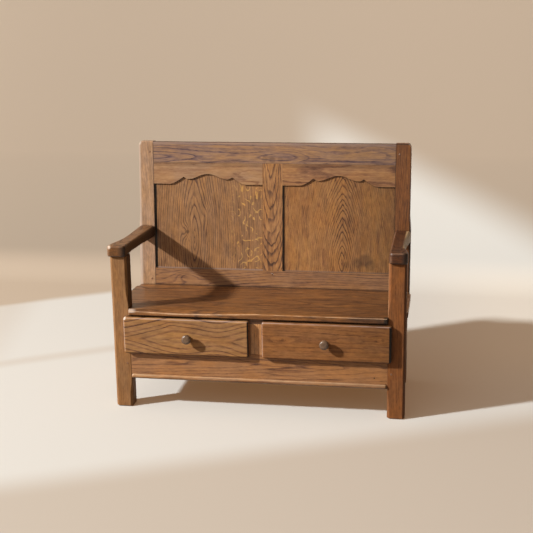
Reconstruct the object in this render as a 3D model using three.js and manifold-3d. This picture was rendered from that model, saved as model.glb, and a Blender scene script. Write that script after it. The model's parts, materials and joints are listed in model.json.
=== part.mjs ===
// A joined oak settle: a leaning panelled back with shaped rails, two scooped arms, a plank seat,
// and two drawers with lipped fronts that slide on runners between the front posts.
// Millimetres, +Z up, the sitter looks along -Y. X runs across the bench, Y from front to back.
import * as THREE from 'three';
import { mergeVertices } from 'three/addons/utils/BufferGeometryUtils.js';
import Module from 'manifold-3d';

const wasm = await Module();
wasm.setup();

// Overall sizes
const postSpan = 1218;            // over the outer faces of the front posts
const benchHeight = 1066;         // floor to the tops of the back stiles
const frameDepth = 433;           // front face of the posts to the front face of the stiles
const backLean = 48;              // how far the top of the back lies behind its bend

// Clearances
const fit = 0.3;                  // between two pieces that are pegged, glued or laid together
const slideGap = 1;               // at each side of a drawer
const overrun = 6;                // how far a cutter or a tenon root passes the face that it starts from

// Seat plank
const seatFrontHeight = 435;      // top of the seat at its front edge
const seatDrop = 14;              // how much lower the seat is where it meets the back
const seatThickness = 25;
const seatOverhang = 15;          // in front of the posts
const seatEndInset = 6;           // ends of the seat behind the outer faces of the posts
const seatEar = 10;               // how much longer the seat is between its post and the back
const seatEarStart = 40;          // behind the post
const seatEarEnd = 38;            // in front of the back
const seatNoseRise = 9;           // height of the unworn round along the top of the front edge
const seatNoseRun = 10;           // depth of that round
const seatNoseUnder = 6;          // radius of the round below it
const seatUnderShare = 0.9;       // most of the plain edge that the lower round may take
const seatCornerRadius = 9;       // front corners, in plan
const seatWearRise = 12;          // how much lower years of sitting have worn the front edge
const seatWearRun = 42;           // how much further back the worn round starts
const seatWearPlaceShare = -0.5;  // middle of the worn stretch, in half seat widths from the centre
const seatWearReachShare = 0.56;  // half its length, in half seat widths

// Posts and stiles
const postWidth = 72;
const postDepth = 57;
const postArris = 2;              // small chamfer on every long edge of a post
const postSideChamfer = 9;        // chamfer on the outer front edge
const footEase = 4;               // chamfer round the foot
const postStopChamfer = 10;       // stopped chamfer on the inner front edge, above and below the rails
const postStopLength = 70;        // length of the long curved stop of that chamfer
const postStopClear = 8;          // plain edge left between a rail or the seat and the stop
const stileWidth = 70;
const stileInset = 3;             // outer faces of the stiles inside those of the posts
const stileDepth = 50;
const stileTopInset = 5;          // how much narrower the stile is above the arm
const stileInsetLength = 60;      // length of the curve into the narrower part
const stileCornerRadius = 20;     // outer top corner
const stileRightRadius = 28;      // that corner on the right, worn rounder
const stileShoulder = 12;         // height of the slope under the seat into the narrower leg
const stileProud = 2;             // tops of the stiles above the top rail
const topArris = 7;               // round along the top of the back

// Rails, tongues and panels
const railThickness = 26;
const backRailThickness = 30;
const railSetback = 1;            // front and side rails behind the face of the posts
const sideSetback = 8;            // side rails behind the outer face of the stiles
const tenonThickness = 10;
const tenonLength = 40;
const sideTenonLength = 28;
const tenonShoulder = 8;          // step between the edge of a rail and its tenon
const panelThickness = 9;
const panelDepth = 8;             // how far a panel stands in its groove
const panelRecess = 7;            // back panels behind the face of the back
const lowPanelRecess = 8;         // side and lower back panels behind the face of their rails
const lowerRailHeight = 127;
const openingHeight = 130;        // between the front rails, for the drawers
const topRailHeight = 21;         // front rail above the drawers, at its front face
const sideRailHeight = 66;        // side rails under the seat
const sideRailRise = 26;          // foot of the lower side rails above the foot of the front rail
const seatRailHeight = 72;        // back rail under the seat
const bottomRailRise = 76;        // top of the bottom rail of the back above the seat
const crownRailHeight = 91;       // top rail of the back
const muntinWidth = 88;
const beadHeight = 20;            // half round along the foot of the front rail
const dividerWidth = 80;          // upright between the drawers
const dividerTenon = 14;

// Shaped rails: a flat, a hollow that rises to a cusp, then a serpentine to the middle
const shapedRailHeight = 95;      // from the top rail down to the flat part of the shaped edge
const shapedRebate = 65;          // height of the lip that covers the head of the panel
const cuspRise = 32;
const troughRise = 22.5;
const crownRise = 45.5;
const hollowStartShare = 0.69;    // places along half a bay, from its middle to the upright
const hollowPullShare = 0.62;
const cuspShare = 0.445;
const troughPullShare = 0.4;
const troughShare = 0.35;
const swellLowShare = 0.22;
const swellHighShare = 0.14;
const shapedSteps = 7;            // straight steps in each curve of that edge

// Arms
const armHeight = 270;            // top of the arm at its front above the front of the seat
const armDrop = 17;               // how much lower its top is at the stile
const armBlockHeight = 47;        // thickness over the post
const armWaistThickness = 42;
const armRearThickness = 50;
const armFrontOverhang = 14;      // in front of the post
const armSideOverhang = 3;        // outside the post
const armLeftExtra = 5;           // how much wider the left arm is
const armInset = 1.5;             // inner edge of the arm outside the inner face of the post
const armWaistScoop = 19;         // depth of the scoop in the outer edge
const armWaistShare = 0.42;       // place of the waist along the arm
const armBlockBack = 12;          // block behind the post
const armCoveLength = 24;         // from the block to the thinner part
const armEndRadius = 16;          // corners of the front end, in plan
const armTopRadius = 10;
const armUnderRadius = 7;
const armTenonWidth = 30;
const armTenonHeight = 28;
const armTenonLength = 34;
const postTenonHeight = 30;       // stub tenon of the post in the arm
const postTenonWidth = 34;

// Drawers
const drawerFrontThickness = 24;
const drawerLipSide = 16;         // overlap of the front over the frame at each side
const drawerLipTop = 15.5;
const drawerLipBottom = 11;
const drawerLeftShift = 4.5;      // how much further out the left front sits on its drawer
const drawerRightShift = 1.2;
const drawerArris = 9;            // round on the front edges of a drawer front
const drawerRearGap = 38;         // behind a closed drawer, to the rail
const drawerSideThickness = 12;
const drawerSideDrop = 4;         // sides below the head of the opening
const drawerBackDrop = 10;        // back below the sides
const drawerBackInset = 12;       // back in front of the ends of the sides
const drawerBottomThickness = 8;
const drawerBottomRaise = 8;      // underside of the bottom above the edge of the sides
const drawerGroove = 5;
const drawerTailDepth = 8;        // sliding dovetail of the side in the front
const drawerTailNeck = 6;
const drawerTailEnd = 10;
const knobRadius = 20;
const knobInward = 4;             // from the middle of the drawer towards the divider
const knobReach = 34;             // how far the knob stands out of the drawer front
const knobNeckRadius = 9;
const knobFootRadius = 12;
const knobFootHeight = 3;
const knobNeckShare = 0.42;       // place of the neck along the knob
const knobShoulderShare = 0.64;   // place where the head is widest
const knobDomeShare = 0.76;
const knobFaceShare = 0.4;        // radius of the flat of the head
const knobSpindleRadius = 7;
const knobSpindleShare = 0.8;     // length of the spindle in the thickness of the front

// Runners, guides and kickers
const runnerHeight = 20;
const runnerCover = 18;           // runner inside the line of the drawer's outer face
const runnerStub = 8;             // stub tenon of a runner
const runnerShoulder = 4;         // beside that tenon
const guideHeight = 17;
const ledgerWidth = 22;
const ledgerHeight = 30;

// Pegs
const pegRadius = 4.2;
const pegInset = 16;              // from the shoulder of the joint
const pegProud = 0.8;
const pegFaceShare = 0.7;         // radius of the flat of the head
const pegTail = 9;                // past the tenon
const muntinPegDrop = 15;         // below the shoulder of the muntin

// Facets
const roundSteps = 4;             // steps in a quarter round
const turnSteps = 32;             // steps round a turned piece
const pegSides = 12;
const seatStations = 28;
const armStations = 14;
const postStations = 7;

// Places worked out from the sizes above
const quarterTurn = Math.PI / 2;
const postOuter = postSpan / 2;
const postInner = postOuter - postWidth;
const stileOuter = postOuter - stileInset;
const stileInner = stileOuter - stileWidth;
const seatRearHeight = seatFrontHeight - seatDrop;
const seatSlope = -seatDrop / (frameDepth + seatOverhang);
const seatTopAt = (y) => seatFrontHeight + (y + seatOverhang) * seatSlope;
const seatUnderAt = (y) => seatTopAt(y) - seatThickness;
const bendHeight = seatUnderAt(frameDepth);
const bottomRailTop = seatRearHeight + bottomRailRise;
const crownRailTop = benchHeight - stileProud;
const crownRailBase = crownRailTop - crownRailHeight;
const shapedBase = crownRailBase - shapedRailHeight;
const lean = Math.atan2(backLean, benchHeight - bendHeight);
const alongBack = (height) => (height - bendHeight) / Math.cos(lean);
const backTop = alongBack(benchHeight);
const crownTop = alongBack(crownRailTop);
const crownBase = alongBack(crownRailBase);
const lowRailTop = alongBack(bottomRailTop);
const leantPoint = (depth, up) => [
  frameDepth + depth * Math.cos(lean) + up * Math.sin(lean),
  bendHeight - depth * Math.sin(lean) + up * Math.cos(lean),
];
const backFaceAt = (height) => frameDepth + alongBack(height) * Math.sin(lean);
const railFront = railSetback;
const railBack = railFront + railThickness;
const openingHead = seatUnderAt(railBack) - topRailHeight;
const openingBase = openingHead - openingHeight;
const lowerRailBase = openingBase - lowerRailHeight;
const dividerHalf = dividerWidth / 2;
const muntinHalf = muntinWidth / 2;
const sideFace = stileOuter - sideSetback;
const sideBack = sideFace - railThickness;
const seatRailTop = leantPoint(backRailThickness, 0)[1] - fit;
const seatRailBase = seatRailTop - seatRailHeight;
const sideRailBase = seatUnderAt(frameDepth) - sideRailHeight;
const armFrontHeight = seatFrontHeight + armHeight;
const armRearHeight = armFrontHeight - armDrop;
const armBase = armFrontHeight - armBlockHeight;
const postTop = armBase - fit;

// Leaning frame of the back: its X is the bench's, its Y runs in from the face, its Z up the slope
const leaning = new THREE.Matrix4()
  .makeTranslation(0, frameDepth, bendHeight)
  .multiply(new THREE.Matrix4().makeRotationX(-lean));
const upright = new THREE.Matrix4();

// Solids for cutting and joining
function solidOf(geometry, matrix = upright) {
  const bare = geometry.clone();
  bare.deleteAttribute('normal');
  bare.deleteAttribute('uv');
  bare.applyMatrix4(matrix);
  const merged = mergeVertices(bare);
  return new wasm.Manifold(new wasm.Mesh({
    numProp: 3,
    vertProperties: new Float32Array(merged.attributes.position.array),
    triVerts: new Uint32Array(merged.index.array),
  }));
}

// A block between two places on each axis
function slab([x0, x1], [y0, y1], [z0, z1], matrix = upright) {
  const block = new THREE.BoxGeometry(x1 - x0, y1 - y0, z1 - z0);
  block.translate((x0 + x1) / 2, (y0 + y1) / 2, (z0 + z1) / 2);
  return solidOf(block, matrix);
}

// The hole that a tongue or tenon of these spans needs
const grown = (span) => [span[0] - fit, span[1] + fit];
const socket = (spans, matrix = upright) => slab(...spans.map(grown), matrix);
const tenon = (spans, matrix = upright) => slab(...spans, matrix);
const flipped = ([x, y, z]) => [[-x[1], -x[0]], y, z];
const bothSides = (spans) => [spans, flipped(spans)];

// An outline from corners [u, v, radius]
function outline(corners) {
  const shape = new THREE.Shape();
  const at = (i) => new THREE.Vector2(...corners[(i + corners.length) % corners.length].slice(0, 2));
  corners.forEach(([u, v, radius = 0], i) => {
    const start = at(i - 1).sub(at(i)).setLength(radius).add(at(i));
    const end = at(i + 1).sub(at(i)).setLength(radius).add(at(i));
    if (i === 0) shape.moveTo(start.x, start.y);
    else shape.lineTo(start.x, start.y);
    if (radius > 0) shape.quadraticCurveTo(u, v, end.x, end.y);
  });
  return shape;
}

const axes = (x, y, z) => new THREE.Matrix4()
  .makeBasis(new THREE.Vector3(...x), new THREE.Vector3(...y), new THREE.Vector3(...z));
const alongX = axes([0, 1, 0], [0, 0, 1], [1, 0, 0]);
const alongY = axes([1, 0, 0], [0, 0, 1], [0, -1, 0]);

function extruded(shape, depth) {
  return new THREE.ExtrudeGeometry(shape, { depth, bevelEnabled: false, curveSegments: roundSteps });
}

// An outline in Y and Z, swept across the bench
function prismX(shape, x0, x1, matrix = upright) {
  const place = new THREE.Matrix4().makeTranslation(x0, 0, 0).multiply(alongX);
  return solidOf(extruded(shape, x1 - x0), matrix.clone().multiply(place));
}

// An outline in X and Z, swept from front to back
function prismY(shape, y0, y1, matrix = upright) {
  const place = new THREE.Matrix4().makeTranslation(0, y1, 0).multiply(alongY);
  return solidOf(extruded(shape, y1 - y0), matrix.clone().multiply(place));
}

// An outline in X and Y, swept upwards
function prismZ(shape, z0, z1) {
  return solidOf(extruded(shape, z1 - z0), new THREE.Matrix4().makeTranslation(0, 0, z0));
}

// A skin over rings of as many points each, closed at both ends round the middle of the ring
function loft(rings) {
  const size = rings[0].length;
  const middle = (ring) => [0, 1, 2].map((k) => ring.reduce((sum, p) => sum + p[k], 0) / size);
  const points = [...rings.flat(), middle(rings[0]), middle(rings[rings.length - 1])];
  const index = [];
  for (let j = 0; j < size; j++) {
    const next = (j + 1) % size;
    for (let i = 0; i + 1 < rings.length; i++) {
      const [a, b] = [i * size + j, i * size + next];
      index.push(a, b, b + size, a, b + size, a + size);
    }
    const last = (rings.length - 1) * size;
    index.push(points.length - 2, next, j, points.length - 1, last + j, last + next);
  }
  const skin = new THREE.BufferGeometry();
  skin.setAttribute('position', new THREE.BufferAttribute(new Float32Array(points.flat()), 3));
  skin.setIndex(index);
  return solidOf(skin);
}

// The same solid on the other side of the bench
function mirrored(solid) {
  const mesh = solid.getMesh();
  const places = Float32Array.from(mesh.vertProperties, (value, i) => (i % 3 === 0 ? -value : value));
  const faces = new Uint32Array(mesh.triVerts.length);
  for (let i = 0; i < faces.length; i += 3) {
    faces.set([mesh.triVerts[i], mesh.triVerts[i + 2], mesh.triVerts[i + 1]], i);
  }
  return new wasm.Manifold(new wasm.Mesh({ numProp: 3, vertProperties: places, triVerts: faces }));
}

const without = (solid, cutters) => cutters.reduce((rest, cutter) => rest.subtract(cutter), solid);
const joined = (solids) => solids.reduce((sum, solid) => sum.add(solid));
const spread = (count) => Array.from({ length: count + 1 }, (unused, i) => i / count);
const mix = (a, b, share) => a + (b - a) * share;
const eased = (share) => share * share * (3 - 2 * share);
const limited = (value) => Math.min(1, Math.max(0, value));

// Colours of the waxed oak
const oakColours = {
  frame: 0x7a4a28,
  panel: 0x85542c,
  seat: 0x6a4124,
  inside: 0x9c7446,
  knob: 0x6f5340,
  peg: 0x4a2c18,
};

const bench = new THREE.Group();

function add(name, solid, colour, parent = bench) {
  const mesh = solid.getMesh();
  const geometry = new THREE.BufferGeometry();
  geometry.setAttribute('position', new THREE.BufferAttribute(new Float32Array(mesh.vertProperties), 3));
  geometry.setIndex(new THREE.BufferAttribute(new Uint32Array(mesh.triVerts), 1));
  geometry.computeVertexNormals();
  const material = new THREE.MeshStandardMaterial({
    color: oakColours[colour],
    roughness: 0.55,
    metalness: 0,
    flatShading: true,
  });
  const piece = new THREE.Mesh(geometry, material);
  piece.name = name;
  parent.add(piece);
}

// A piece made for the right, and its mirror image for the left, as seen from the front
function addPair(name, solid, colour, parent = bench) {
  add(`${name}_right`, solid, colour, parent);
  add(`${name}_left`, mirrored(solid), colour, parent);
}

// Tongues of the back, in its leaning frame
const backTongue = [
  panelRecess + (panelThickness - tenonThickness) / 2,
  panelRecess + (panelThickness + tenonThickness) / 2,
];
const panelSpan = [panelRecess, panelRecess + panelThickness];
const intoStile = [stileInner - overrun, stileInner + tenonLength];
const crownTenon = [intoStile, backTongue, [crownBase + tenonShoulder, crownTop - tenonShoulder * 2]];
const bottomTenon = [intoStile, backTongue, [tenonShoulder, lowRailTop - tenonShoulder]];
const muntinTenonSpan = [-muntinHalf + tenonShoulder, muntinHalf - tenonShoulder];
const muntinHeadTenon = [muntinTenonSpan, backTongue, [crownBase - overrun, crownBase + tenonLength]];
const muntinFootTenon = [muntinTenonSpan, backTongue, [lowRailTop - tenonLength, lowRailTop + overrun]];
const shapedLow = alongBack(shapedBase);
const panelHead = shapedLow + shapedRebate - fit;
const bayStart = muntinHalf + fit;
const bayEnd = stileInner - fit;
const shapedTongue = [
  [muntinHalf - panelDepth, stileInner + panelDepth],
  backTongue,
  [panelHead + fit * 2 + tenonShoulder, crownBase - fit],
];
const crownTongue = [
  [bayStart, bayEnd],
  backTongue,
  [crownBase - overrun, crownBase + panelDepth],
];
const panelField = [
  [muntinHalf - panelDepth, stileInner + panelDepth],
  panelSpan,
  [lowRailTop - panelDepth, panelHead],
];

// Tongues of the upright frame below the seat
const frontTongue = [railFront + lowPanelRecess, railFront + lowPanelRecess + tenonThickness];
const rearTongue = [frameDepth + lowPanelRecess, frameDepth + lowPanelRecess + tenonThickness];
const sideTongue = [sideFace - lowPanelRecess - tenonThickness, sideFace - lowPanelRecess];
const intoPost = [postInner - overrun, postInner + tenonLength];
const lowerTenonHeight = [lowerRailBase + tenonShoulder, openingBase - tenonShoulder];
const sideLowerBase = lowerRailBase + sideRailRise;
const frontLowerTenon = [intoPost, frontTongue, lowerTenonHeight];
const frontTopTenon = [
  intoPost,
  frontTongue,
  [openingHead + tenonShoulder / 4, openingHead + topRailHeight - tenonShoulder / 2],
];
const seatRailTenon = [
  intoStile,
  rearTongue,
  [seatRailBase + tenonShoulder, seatRailTop - tenonShoulder],
];
const backLowerTenon = [intoStile, rearTongue, lowerTenonHeight];
const lowPanelThick = (tongue) => [
  (tongue[0] + tongue[1] - panelThickness) / 2,
  (tongue[0] + tongue[1] + panelThickness) / 2,
];
const lowPanelField = [
  [-stileInner - panelDepth, stileInner + panelDepth],
  lowPanelThick(rearTongue),
  [openingBase - panelDepth, seatRailBase + panelDepth],
];
const sidePanelField = [
  lowPanelThick(sideTongue),
  [postDepth - panelDepth, frameDepth + panelDepth],
  [openingBase - panelDepth, sideRailBase + panelDepth],
];
const sideRailEnds = [
  [postDepth - sideTenonLength, postDepth + overrun],
  [frameDepth - overrun, frameDepth + sideTenonLength],
];
const sideTenons = (heights) => sideRailEnds.map((ends) => [sideTongue, ends, heights]);
const sideLowerTenons = sideTenons([sideLowerBase + tenonShoulder, openingBase - tenonShoulder]);
const sideTopTenons = sideTenons([sideRailBase + tenonShoulder, bendHeight - tenonShoulder]);

// Joints of the arm
const armSeatHeight = armRearHeight - armRearThickness / 2;
const armTenonMiddle = (stileInner + stileOuter) / 2;
const armTenon = [
  [armTenonMiddle - armTenonWidth / 2, armTenonMiddle + armTenonWidth / 2],
  [backFaceAt(armSeatHeight) - overrun * 2, backFaceAt(armSeatHeight) + armTenonLength],
  [armSeatHeight - armTenonHeight / 2, armSeatHeight + armTenonHeight / 2],
];
const postMiddle = (postInner + postOuter) / 2;
const postTenon = [
  [postMiddle - postTenonWidth / 2, postMiddle + postTenonWidth / 2],
  [(postDepth - postTenonWidth) / 2, (postDepth + postTenonWidth) / 2],
  [postTop - overrun, armBase + postTenonHeight],
];

// A peg lies along Y: its head stands a little proud of the face at y = face
function pegSolid(radius, face, [x, z], end, proud, matrix = upright) {
  const profile = [
    new THREE.Vector2(0, face - proud),
    new THREE.Vector2(radius * pegFaceShare, face - proud),
    new THREE.Vector2(radius, face - Math.min(0, proud)),
    new THREE.Vector2(radius, end),
    new THREE.Vector2(0, end),
  ];
  const peg = new THREE.LatheGeometry(profile, pegSides);
  return solidOf(peg, matrix.clone().multiply(new THREE.Matrix4().makeTranslation(x, 0, z)));
}

// Pegs as [x, z] on their face, from the joints that they hold
const backPegEnd = backTongue[1] + pegTail;
const frontPegEnd = frontTongue[1] + pegTail;
const crownPeg = [stileInner + pegInset, (crownBase + crownTop) / 2];
const bottomPeg = [stileInner + pegInset, lowRailTop / 2];
const muntinPeg = [0, lowRailTop - muntinPegDrop];
const postPeg = [postInner + pegInset, (lowerRailBase + openingBase) / 2];
const backPeg = (place) => pegSolid(pegRadius, 0, place, backPegEnd, pegProud);
const backPegHole = (place, matrix) =>
  pegSolid(pegRadius + fit, 0, place, backPegEnd + fit, overrun, matrix);
const frontPegHole = pegSolid(pegRadius + fit, 0, postPeg, frontPegEnd + fit, overrun);

// Stile: a leg level with the side rails, leaning above the seat, with a rounded top corner
function stileSolid(cornerRadius) {
  const rearBend = leantPoint(stileDepth, stileDepth * Math.tan(lean / 2));
  const profile = outline([
    [frameDepth, 0],
    [frameDepth + stileDepth, 0],
    rearBend,
    [...leantPoint(stileDepth, backTop), topArris],
    [...leantPoint(0, backTop), topArris],
    [frameDepth, bendHeight],
  ]);
  const insetTop = armRearHeight + stileInsetLength;
  const face = outline([
    [stileInner, 0],
    [sideFace, 0],
    [sideFace, bendHeight - stileShoulder],
    [stileOuter, bendHeight],
    [stileOuter, armRearHeight, stileInsetLength / 3],
    [stileOuter - stileTopInset, insetTop, stileInsetLength / 3],
    [stileOuter - stileTopInset, benchHeight, cornerRadius],
    [stileInner, benchHeight],
  ]);
  const body = prismX(profile, stileInner, stileOuter)
    .intersect(prismY(face, frameDepth - overrun, frameDepth + stileDepth + backLean + overrun));
  const grooveX = [stileInner - overrun, stileInner + panelDepth];
  return without(body, [
    socket(crownTenon, leaning),
    socket(bottomTenon, leaning),
    socket([grooveX, backTongue, [lowRailTop - panelDepth, crownBase]], leaning),
    socket(seatRailTenon),
    socket(backLowerTenon),
    socket([grooveX, rearTongue, lowPanelField[2]]),
    socket(sideLowerTenons[1]),
    socket(sideTopTenons[1]),
    socket([sideTongue, [frameDepth - overrun, frameDepth + panelDepth], sidePanelField[2]]),
    socket(armTenon),
    backPegHole(crownPeg, leaning),
    backPegHole(bottomPeg, leaning),
  ]);
}

// Front post: square, with a stopped chamfer on the inner edge above the seat and below the rail
function postSolid() {
  const seatEdge = seatTopAt(0) + postStopClear;
  const railEdge = lowerRailBase - postStopClear;
  const lowStopLength = Math.min(postStopLength, railEdge - postStopClear);
  const chamferAt = (z) => {
    const above = limited((z - seatEdge) / postStopLength);
    const below = limited((railEdge - z) / lowStopLength);
    return mix(postArris, postStopChamfer, eased(Math.max(above, below)));
  };
  const section = (z) => {
    const stop = chamferAt(z);
    const side = postSideChamfer;
    const ease = footEase - Math.min(z, footEase);
    const [x0, x1, y0, y1] = [postInner + ease, postOuter - ease, ease, postDepth - ease];
    return [
      [x0, y0 + stop, z],
      [x0 + stop, y0, z],
      [x1 - side, y0, z],
      [x1, y0 + side, z],
      [x1, y1 - postArris, z],
      [x1 - postArris, y1, z],
      [x0 + postArris, y1, z],
      [x0, y1 - postArris, z],
    ];
  };
  const stops = spread(postStations);
  const heights = [
    0,
    footEase,
    ...stops.map((share) => railEdge - lowStopLength * (1 - share)),
    ...stops.map((share) => seatEdge + postStopLength * share),
    postTop,
  ];
  const grooveY = [postDepth - panelDepth, postDepth + overrun];
  return without(joined([loft(heights.map(section)), tenon(postTenon)]), [
    socket(frontLowerTenon),
    socket(frontTopTenon),
    socket(sideLowerTenons[0]),
    socket(sideTopTenons[0]),
    socket([sideTongue, grooveY, sidePanelField[2]]),
    frontPegHole,
  ]);
}

// Arm: a block over the post, a scooped outer edge, a cove and a shallow arch underneath
function armSolid(extra) {
  const frontY = -armFrontOverhang;
  const rearY = backFaceAt(armSeatHeight);
  const length = rearY - frontY;
  const blockEnd = postDepth + armBlockBack;
  const waistY = frontY + length * armWaistShare;
  const blockOuter = postOuter + armSideOverhang + extra;
  const topAt = (y) => mix(armFrontHeight, armRearHeight, (y - frontY) / length);
  const outerAt = (y) => {
    const scoopStart = postDepth / 2;
    const inward = limited((y - scoopStart) / (waistY - scoopStart));
    const back = limited((y - waistY) / (rearY - waistY));
    const waist = blockOuter - armWaistScoop;
    if (back > 0) return mix(waist, stileOuter, 1 - Math.cos(quarterTurn * back));
    return mix(blockOuter, waist, Math.sin(quarterTurn * inward));
  };
  const innerAt = (y) => mix(postInner, stileInner, (y - frontY) / length) + armInset;
  const underAt = (y) => {
    const back = limited((y - blockEnd - armCoveLength) / (rearY - blockEnd - armCoveLength));
    const arch = topAt(y) - mix(armWaistThickness, armRearThickness, back * back);
    return mix(armBase, arch, eased(limited((y - blockEnd) / armCoveLength)));
  };
  const roundAt = (distance, radius) => {
    const left = radius - Math.min(distance, radius);
    return radius - Math.sqrt(radius * radius - left * left);
  };
  const section = (y, faceAt = () => y) => {
    const plan = roundAt(y - frontY, armEndRadius);
    const nose = roundAt(y - frontY, armTopRadius);
    const [x0, x1] = [innerAt(y) + plan, outerAt(y) - plan];
    const chin = roundAt(y - frontY, armUnderRadius);
    const [z0, z1] = [underAt(y) + chin, topAt(y) - nose];
    const corners = [
      [x0 + armUnderRadius, z0 + armUnderRadius, armUnderRadius, 2],
      [x1 - armUnderRadius, z0 + armUnderRadius, armUnderRadius, 3],
      [x1 - armTopRadius, z1 - armTopRadius, armTopRadius, 0],
      [x0 + armTopRadius, z1 - armTopRadius, armTopRadius, 1],
    ];
    return corners.flatMap(([x, z, radius, quarter]) => spread(roundSteps).map((share) => {
      const turn = quarterTurn * (quarter + share);
      const height = z + radius * Math.sin(turn);
      return [x + radius * Math.cos(turn), faceAt(height), height];
    }));
  };
  const rounded = spread(roundSteps + 1).map((share) => armEndRadius * (1 - Math.cos(quarterTurn * share)));
  const cove = spread(roundSteps).map((share) => blockEnd + armCoveLength * share);
  const bodyStart = blockEnd + armCoveLength;
  const body = spread(armStations).slice(1, -1).map((share) => mix(bodyStart, rearY - overrun * 2, share));
  const stations = [...rounded.map((distance) => frontY + distance), postDepth / 2, ...cove, ...body];
  const rings = stations.map((y) => section(y));
  rings.push(section(rearY - overrun, (height) => backFaceAt(height) - fit));
  rings.forEach((ring) => ring.reverse());
  return without(joined([loft(rings), tenon(armTenon)]), [socket(postTenon)]);
}

// Top rail of the back, with a soft top
function crownRailSolid() {
  const profile = outline([
    [0, crownBase],
    [backRailThickness, crownBase],
    [backRailThickness, crownTop, topArris],
    [0, crownTop, topArris],
  ]);
  const body = prismX(profile, -bayEnd, bayEnd);
  return without(joined([body, ...bothSides(crownTenon).map((spans) => tenon(spans))]), [
    socket(muntinHeadTenon),
    ...bothSides(crownTongue).map((spans) => socket(spans)),
    backPegHole(crownPeg),
    backPegHole([-crownPeg[0], crownPeg[1]]),
  ]);
}

// Bottom rail of the back
function bottomRailSolid() {
  const body = slab([-bayEnd, bayEnd], [0, backRailThickness], [fit, lowRailTop - fit]);
  const groove = [panelField[0], backTongue, [lowRailTop - panelDepth, lowRailTop + overrun]];
  return without(joined([body, ...bothSides(bottomTenon).map((spans) => tenon(spans))]), [
    socket(muntinFootTenon),
    ...bothSides(groove).map((spans) => socket(spans)),
    backPegHole(bottomPeg),
    backPegHole([-bottomPeg[0], bottomPeg[1]]),
    backPegHole(muntinPeg),
  ]);
}

// Upright in the middle of the back
function muntinSolid() {
  const ends = [lowRailTop, crownBase - fit];
  const body = slab([-muntinHalf, muntinHalf], [0, backRailThickness], ends);
  const groove = [[muntinHalf - panelDepth, muntinHalf + overrun], backTongue, grown(ends)];
  return without(joined([body, tenon(muntinHeadTenon), tenon(muntinFootTenon)]), [
    ...bothSides(groove).map((spans) => socket(spans)
      .subtract(tenon(muntinHeadTenon))
      .subtract(tenon(muntinFootTenon))),
    backPegHole(muntinPeg),
  ]);
}

// Lower edge of a shaped rail, from the middle of the bay to one end, as [share, rise] curves
function shapedEdge() {
  const halfBay = (bayEnd - bayStart) / 2;
  const point = (share, rise) => new THREE.Vector2(halfBay * share, rise);
  const swell = new THREE.CubicBezierCurve(
    point(0, crownRise),
    point(swellHighShare, crownRise),
    point(swellLowShare, troughRise),
    point(troughShare, troughRise),
  );
  const dip = new THREE.QuadraticBezierCurve(
    point(troughShare, troughRise),
    point(troughPullShare, troughRise),
    point(cuspShare, cuspRise),
  );
  const hollow = new THREE.QuadraticBezierCurve(
    point(cuspShare, cuspRise),
    point(hollowPullShare, 0),
    point(hollowStartShare, 0),
  );
  const half = [swell, dip, hollow].flatMap((curve) => curve.getPoints(shapedSteps).slice(1));
  return [
    ...half.toReversed().map((p) => [-p.x, p.y]),
    [0, crownRise],
    ...half.map((p) => [p.x, p.y]),
  ];
}

// Shaped rail: a lip with the shaped edge in front of the panel, full thickness above it
function shapedRailSolid() {
  const middle = (bayStart + bayEnd) / 2;
  const top = crownBase - fit * 2;
  const face = outline([
    [bayStart, top],
    [bayStart, shapedLow],
    ...shapedEdge().map(([x, rise]) => [middle + x, shapedLow + rise]),
    [bayEnd, shapedLow],
    [bayEnd, top],
  ]);
  return joined([
    prismY(face, 0, panelRecess - fit),
    slab([bayStart, bayEnd], [0, backRailThickness], [panelHead + fit * 2, top]),
    tenon(shapedTongue.map((span, axis) => (axis === 2 ? [span[0], top] : span))),
    tenon(crownTongue.map((span, axis) => (axis === 1 ? span : [span[0] + fit, span[1] - fit]))),
  ]);
}

// Rails of the front: one below the drawers, one above them under the seat
function frontLowerRailSolid() {
  const reach = postInner - fit;
  const body = slab([-reach, reach], [railFront, railBack], [lowerRailBase, openingBase]);
  return without(joined([body, ...bothSides(frontLowerTenon).map((spans) => tenon(spans))]), [
    socket(dividerFootTenon),
    ...runnerStubs.map((stubs) => socket(stubs[0])),
    frontPegHole,
    mirrored(frontPegHole),
  ]);
}

function frontTopRailSolid() {
  const reach = postInner - fit;
  const profile = outline([
    [railFront, openingHead],
    [railBack, openingHead],
    [railBack, seatUnderAt(railBack) - fit],
    [railFront, seatUnderAt(railFront) - fit],
  ]);
  return without(
    joined([prismX(profile, -reach, reach), ...bothSides(frontTopTenon).map((spans) => tenon(spans))]),
    [socket(dividerHeadTenon)],
  );
}

const dividerTenonSpan = [-dividerHalf + tenonShoulder, dividerHalf - tenonShoulder];
const dividerHead = [openingHead - overrun, openingHead + dividerTenon];
const dividerFoot = [openingBase - dividerTenon * 2, openingBase + overrun];
const dividerHeadTenon = [dividerTenonSpan, frontTongue, dividerHead];
const dividerFootTenon = [dividerTenonSpan, frontTongue, dividerFoot];

// Upright between the two drawers
function dividerSolid() {
  const ends = [openingBase + fit, openingHead - fit];
  const body = slab([-dividerHalf, dividerHalf], [railFront, railBack], ends);
  return joined([body, tenon(dividerHeadTenon), tenon(dividerFootTenon)]);
}

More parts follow.
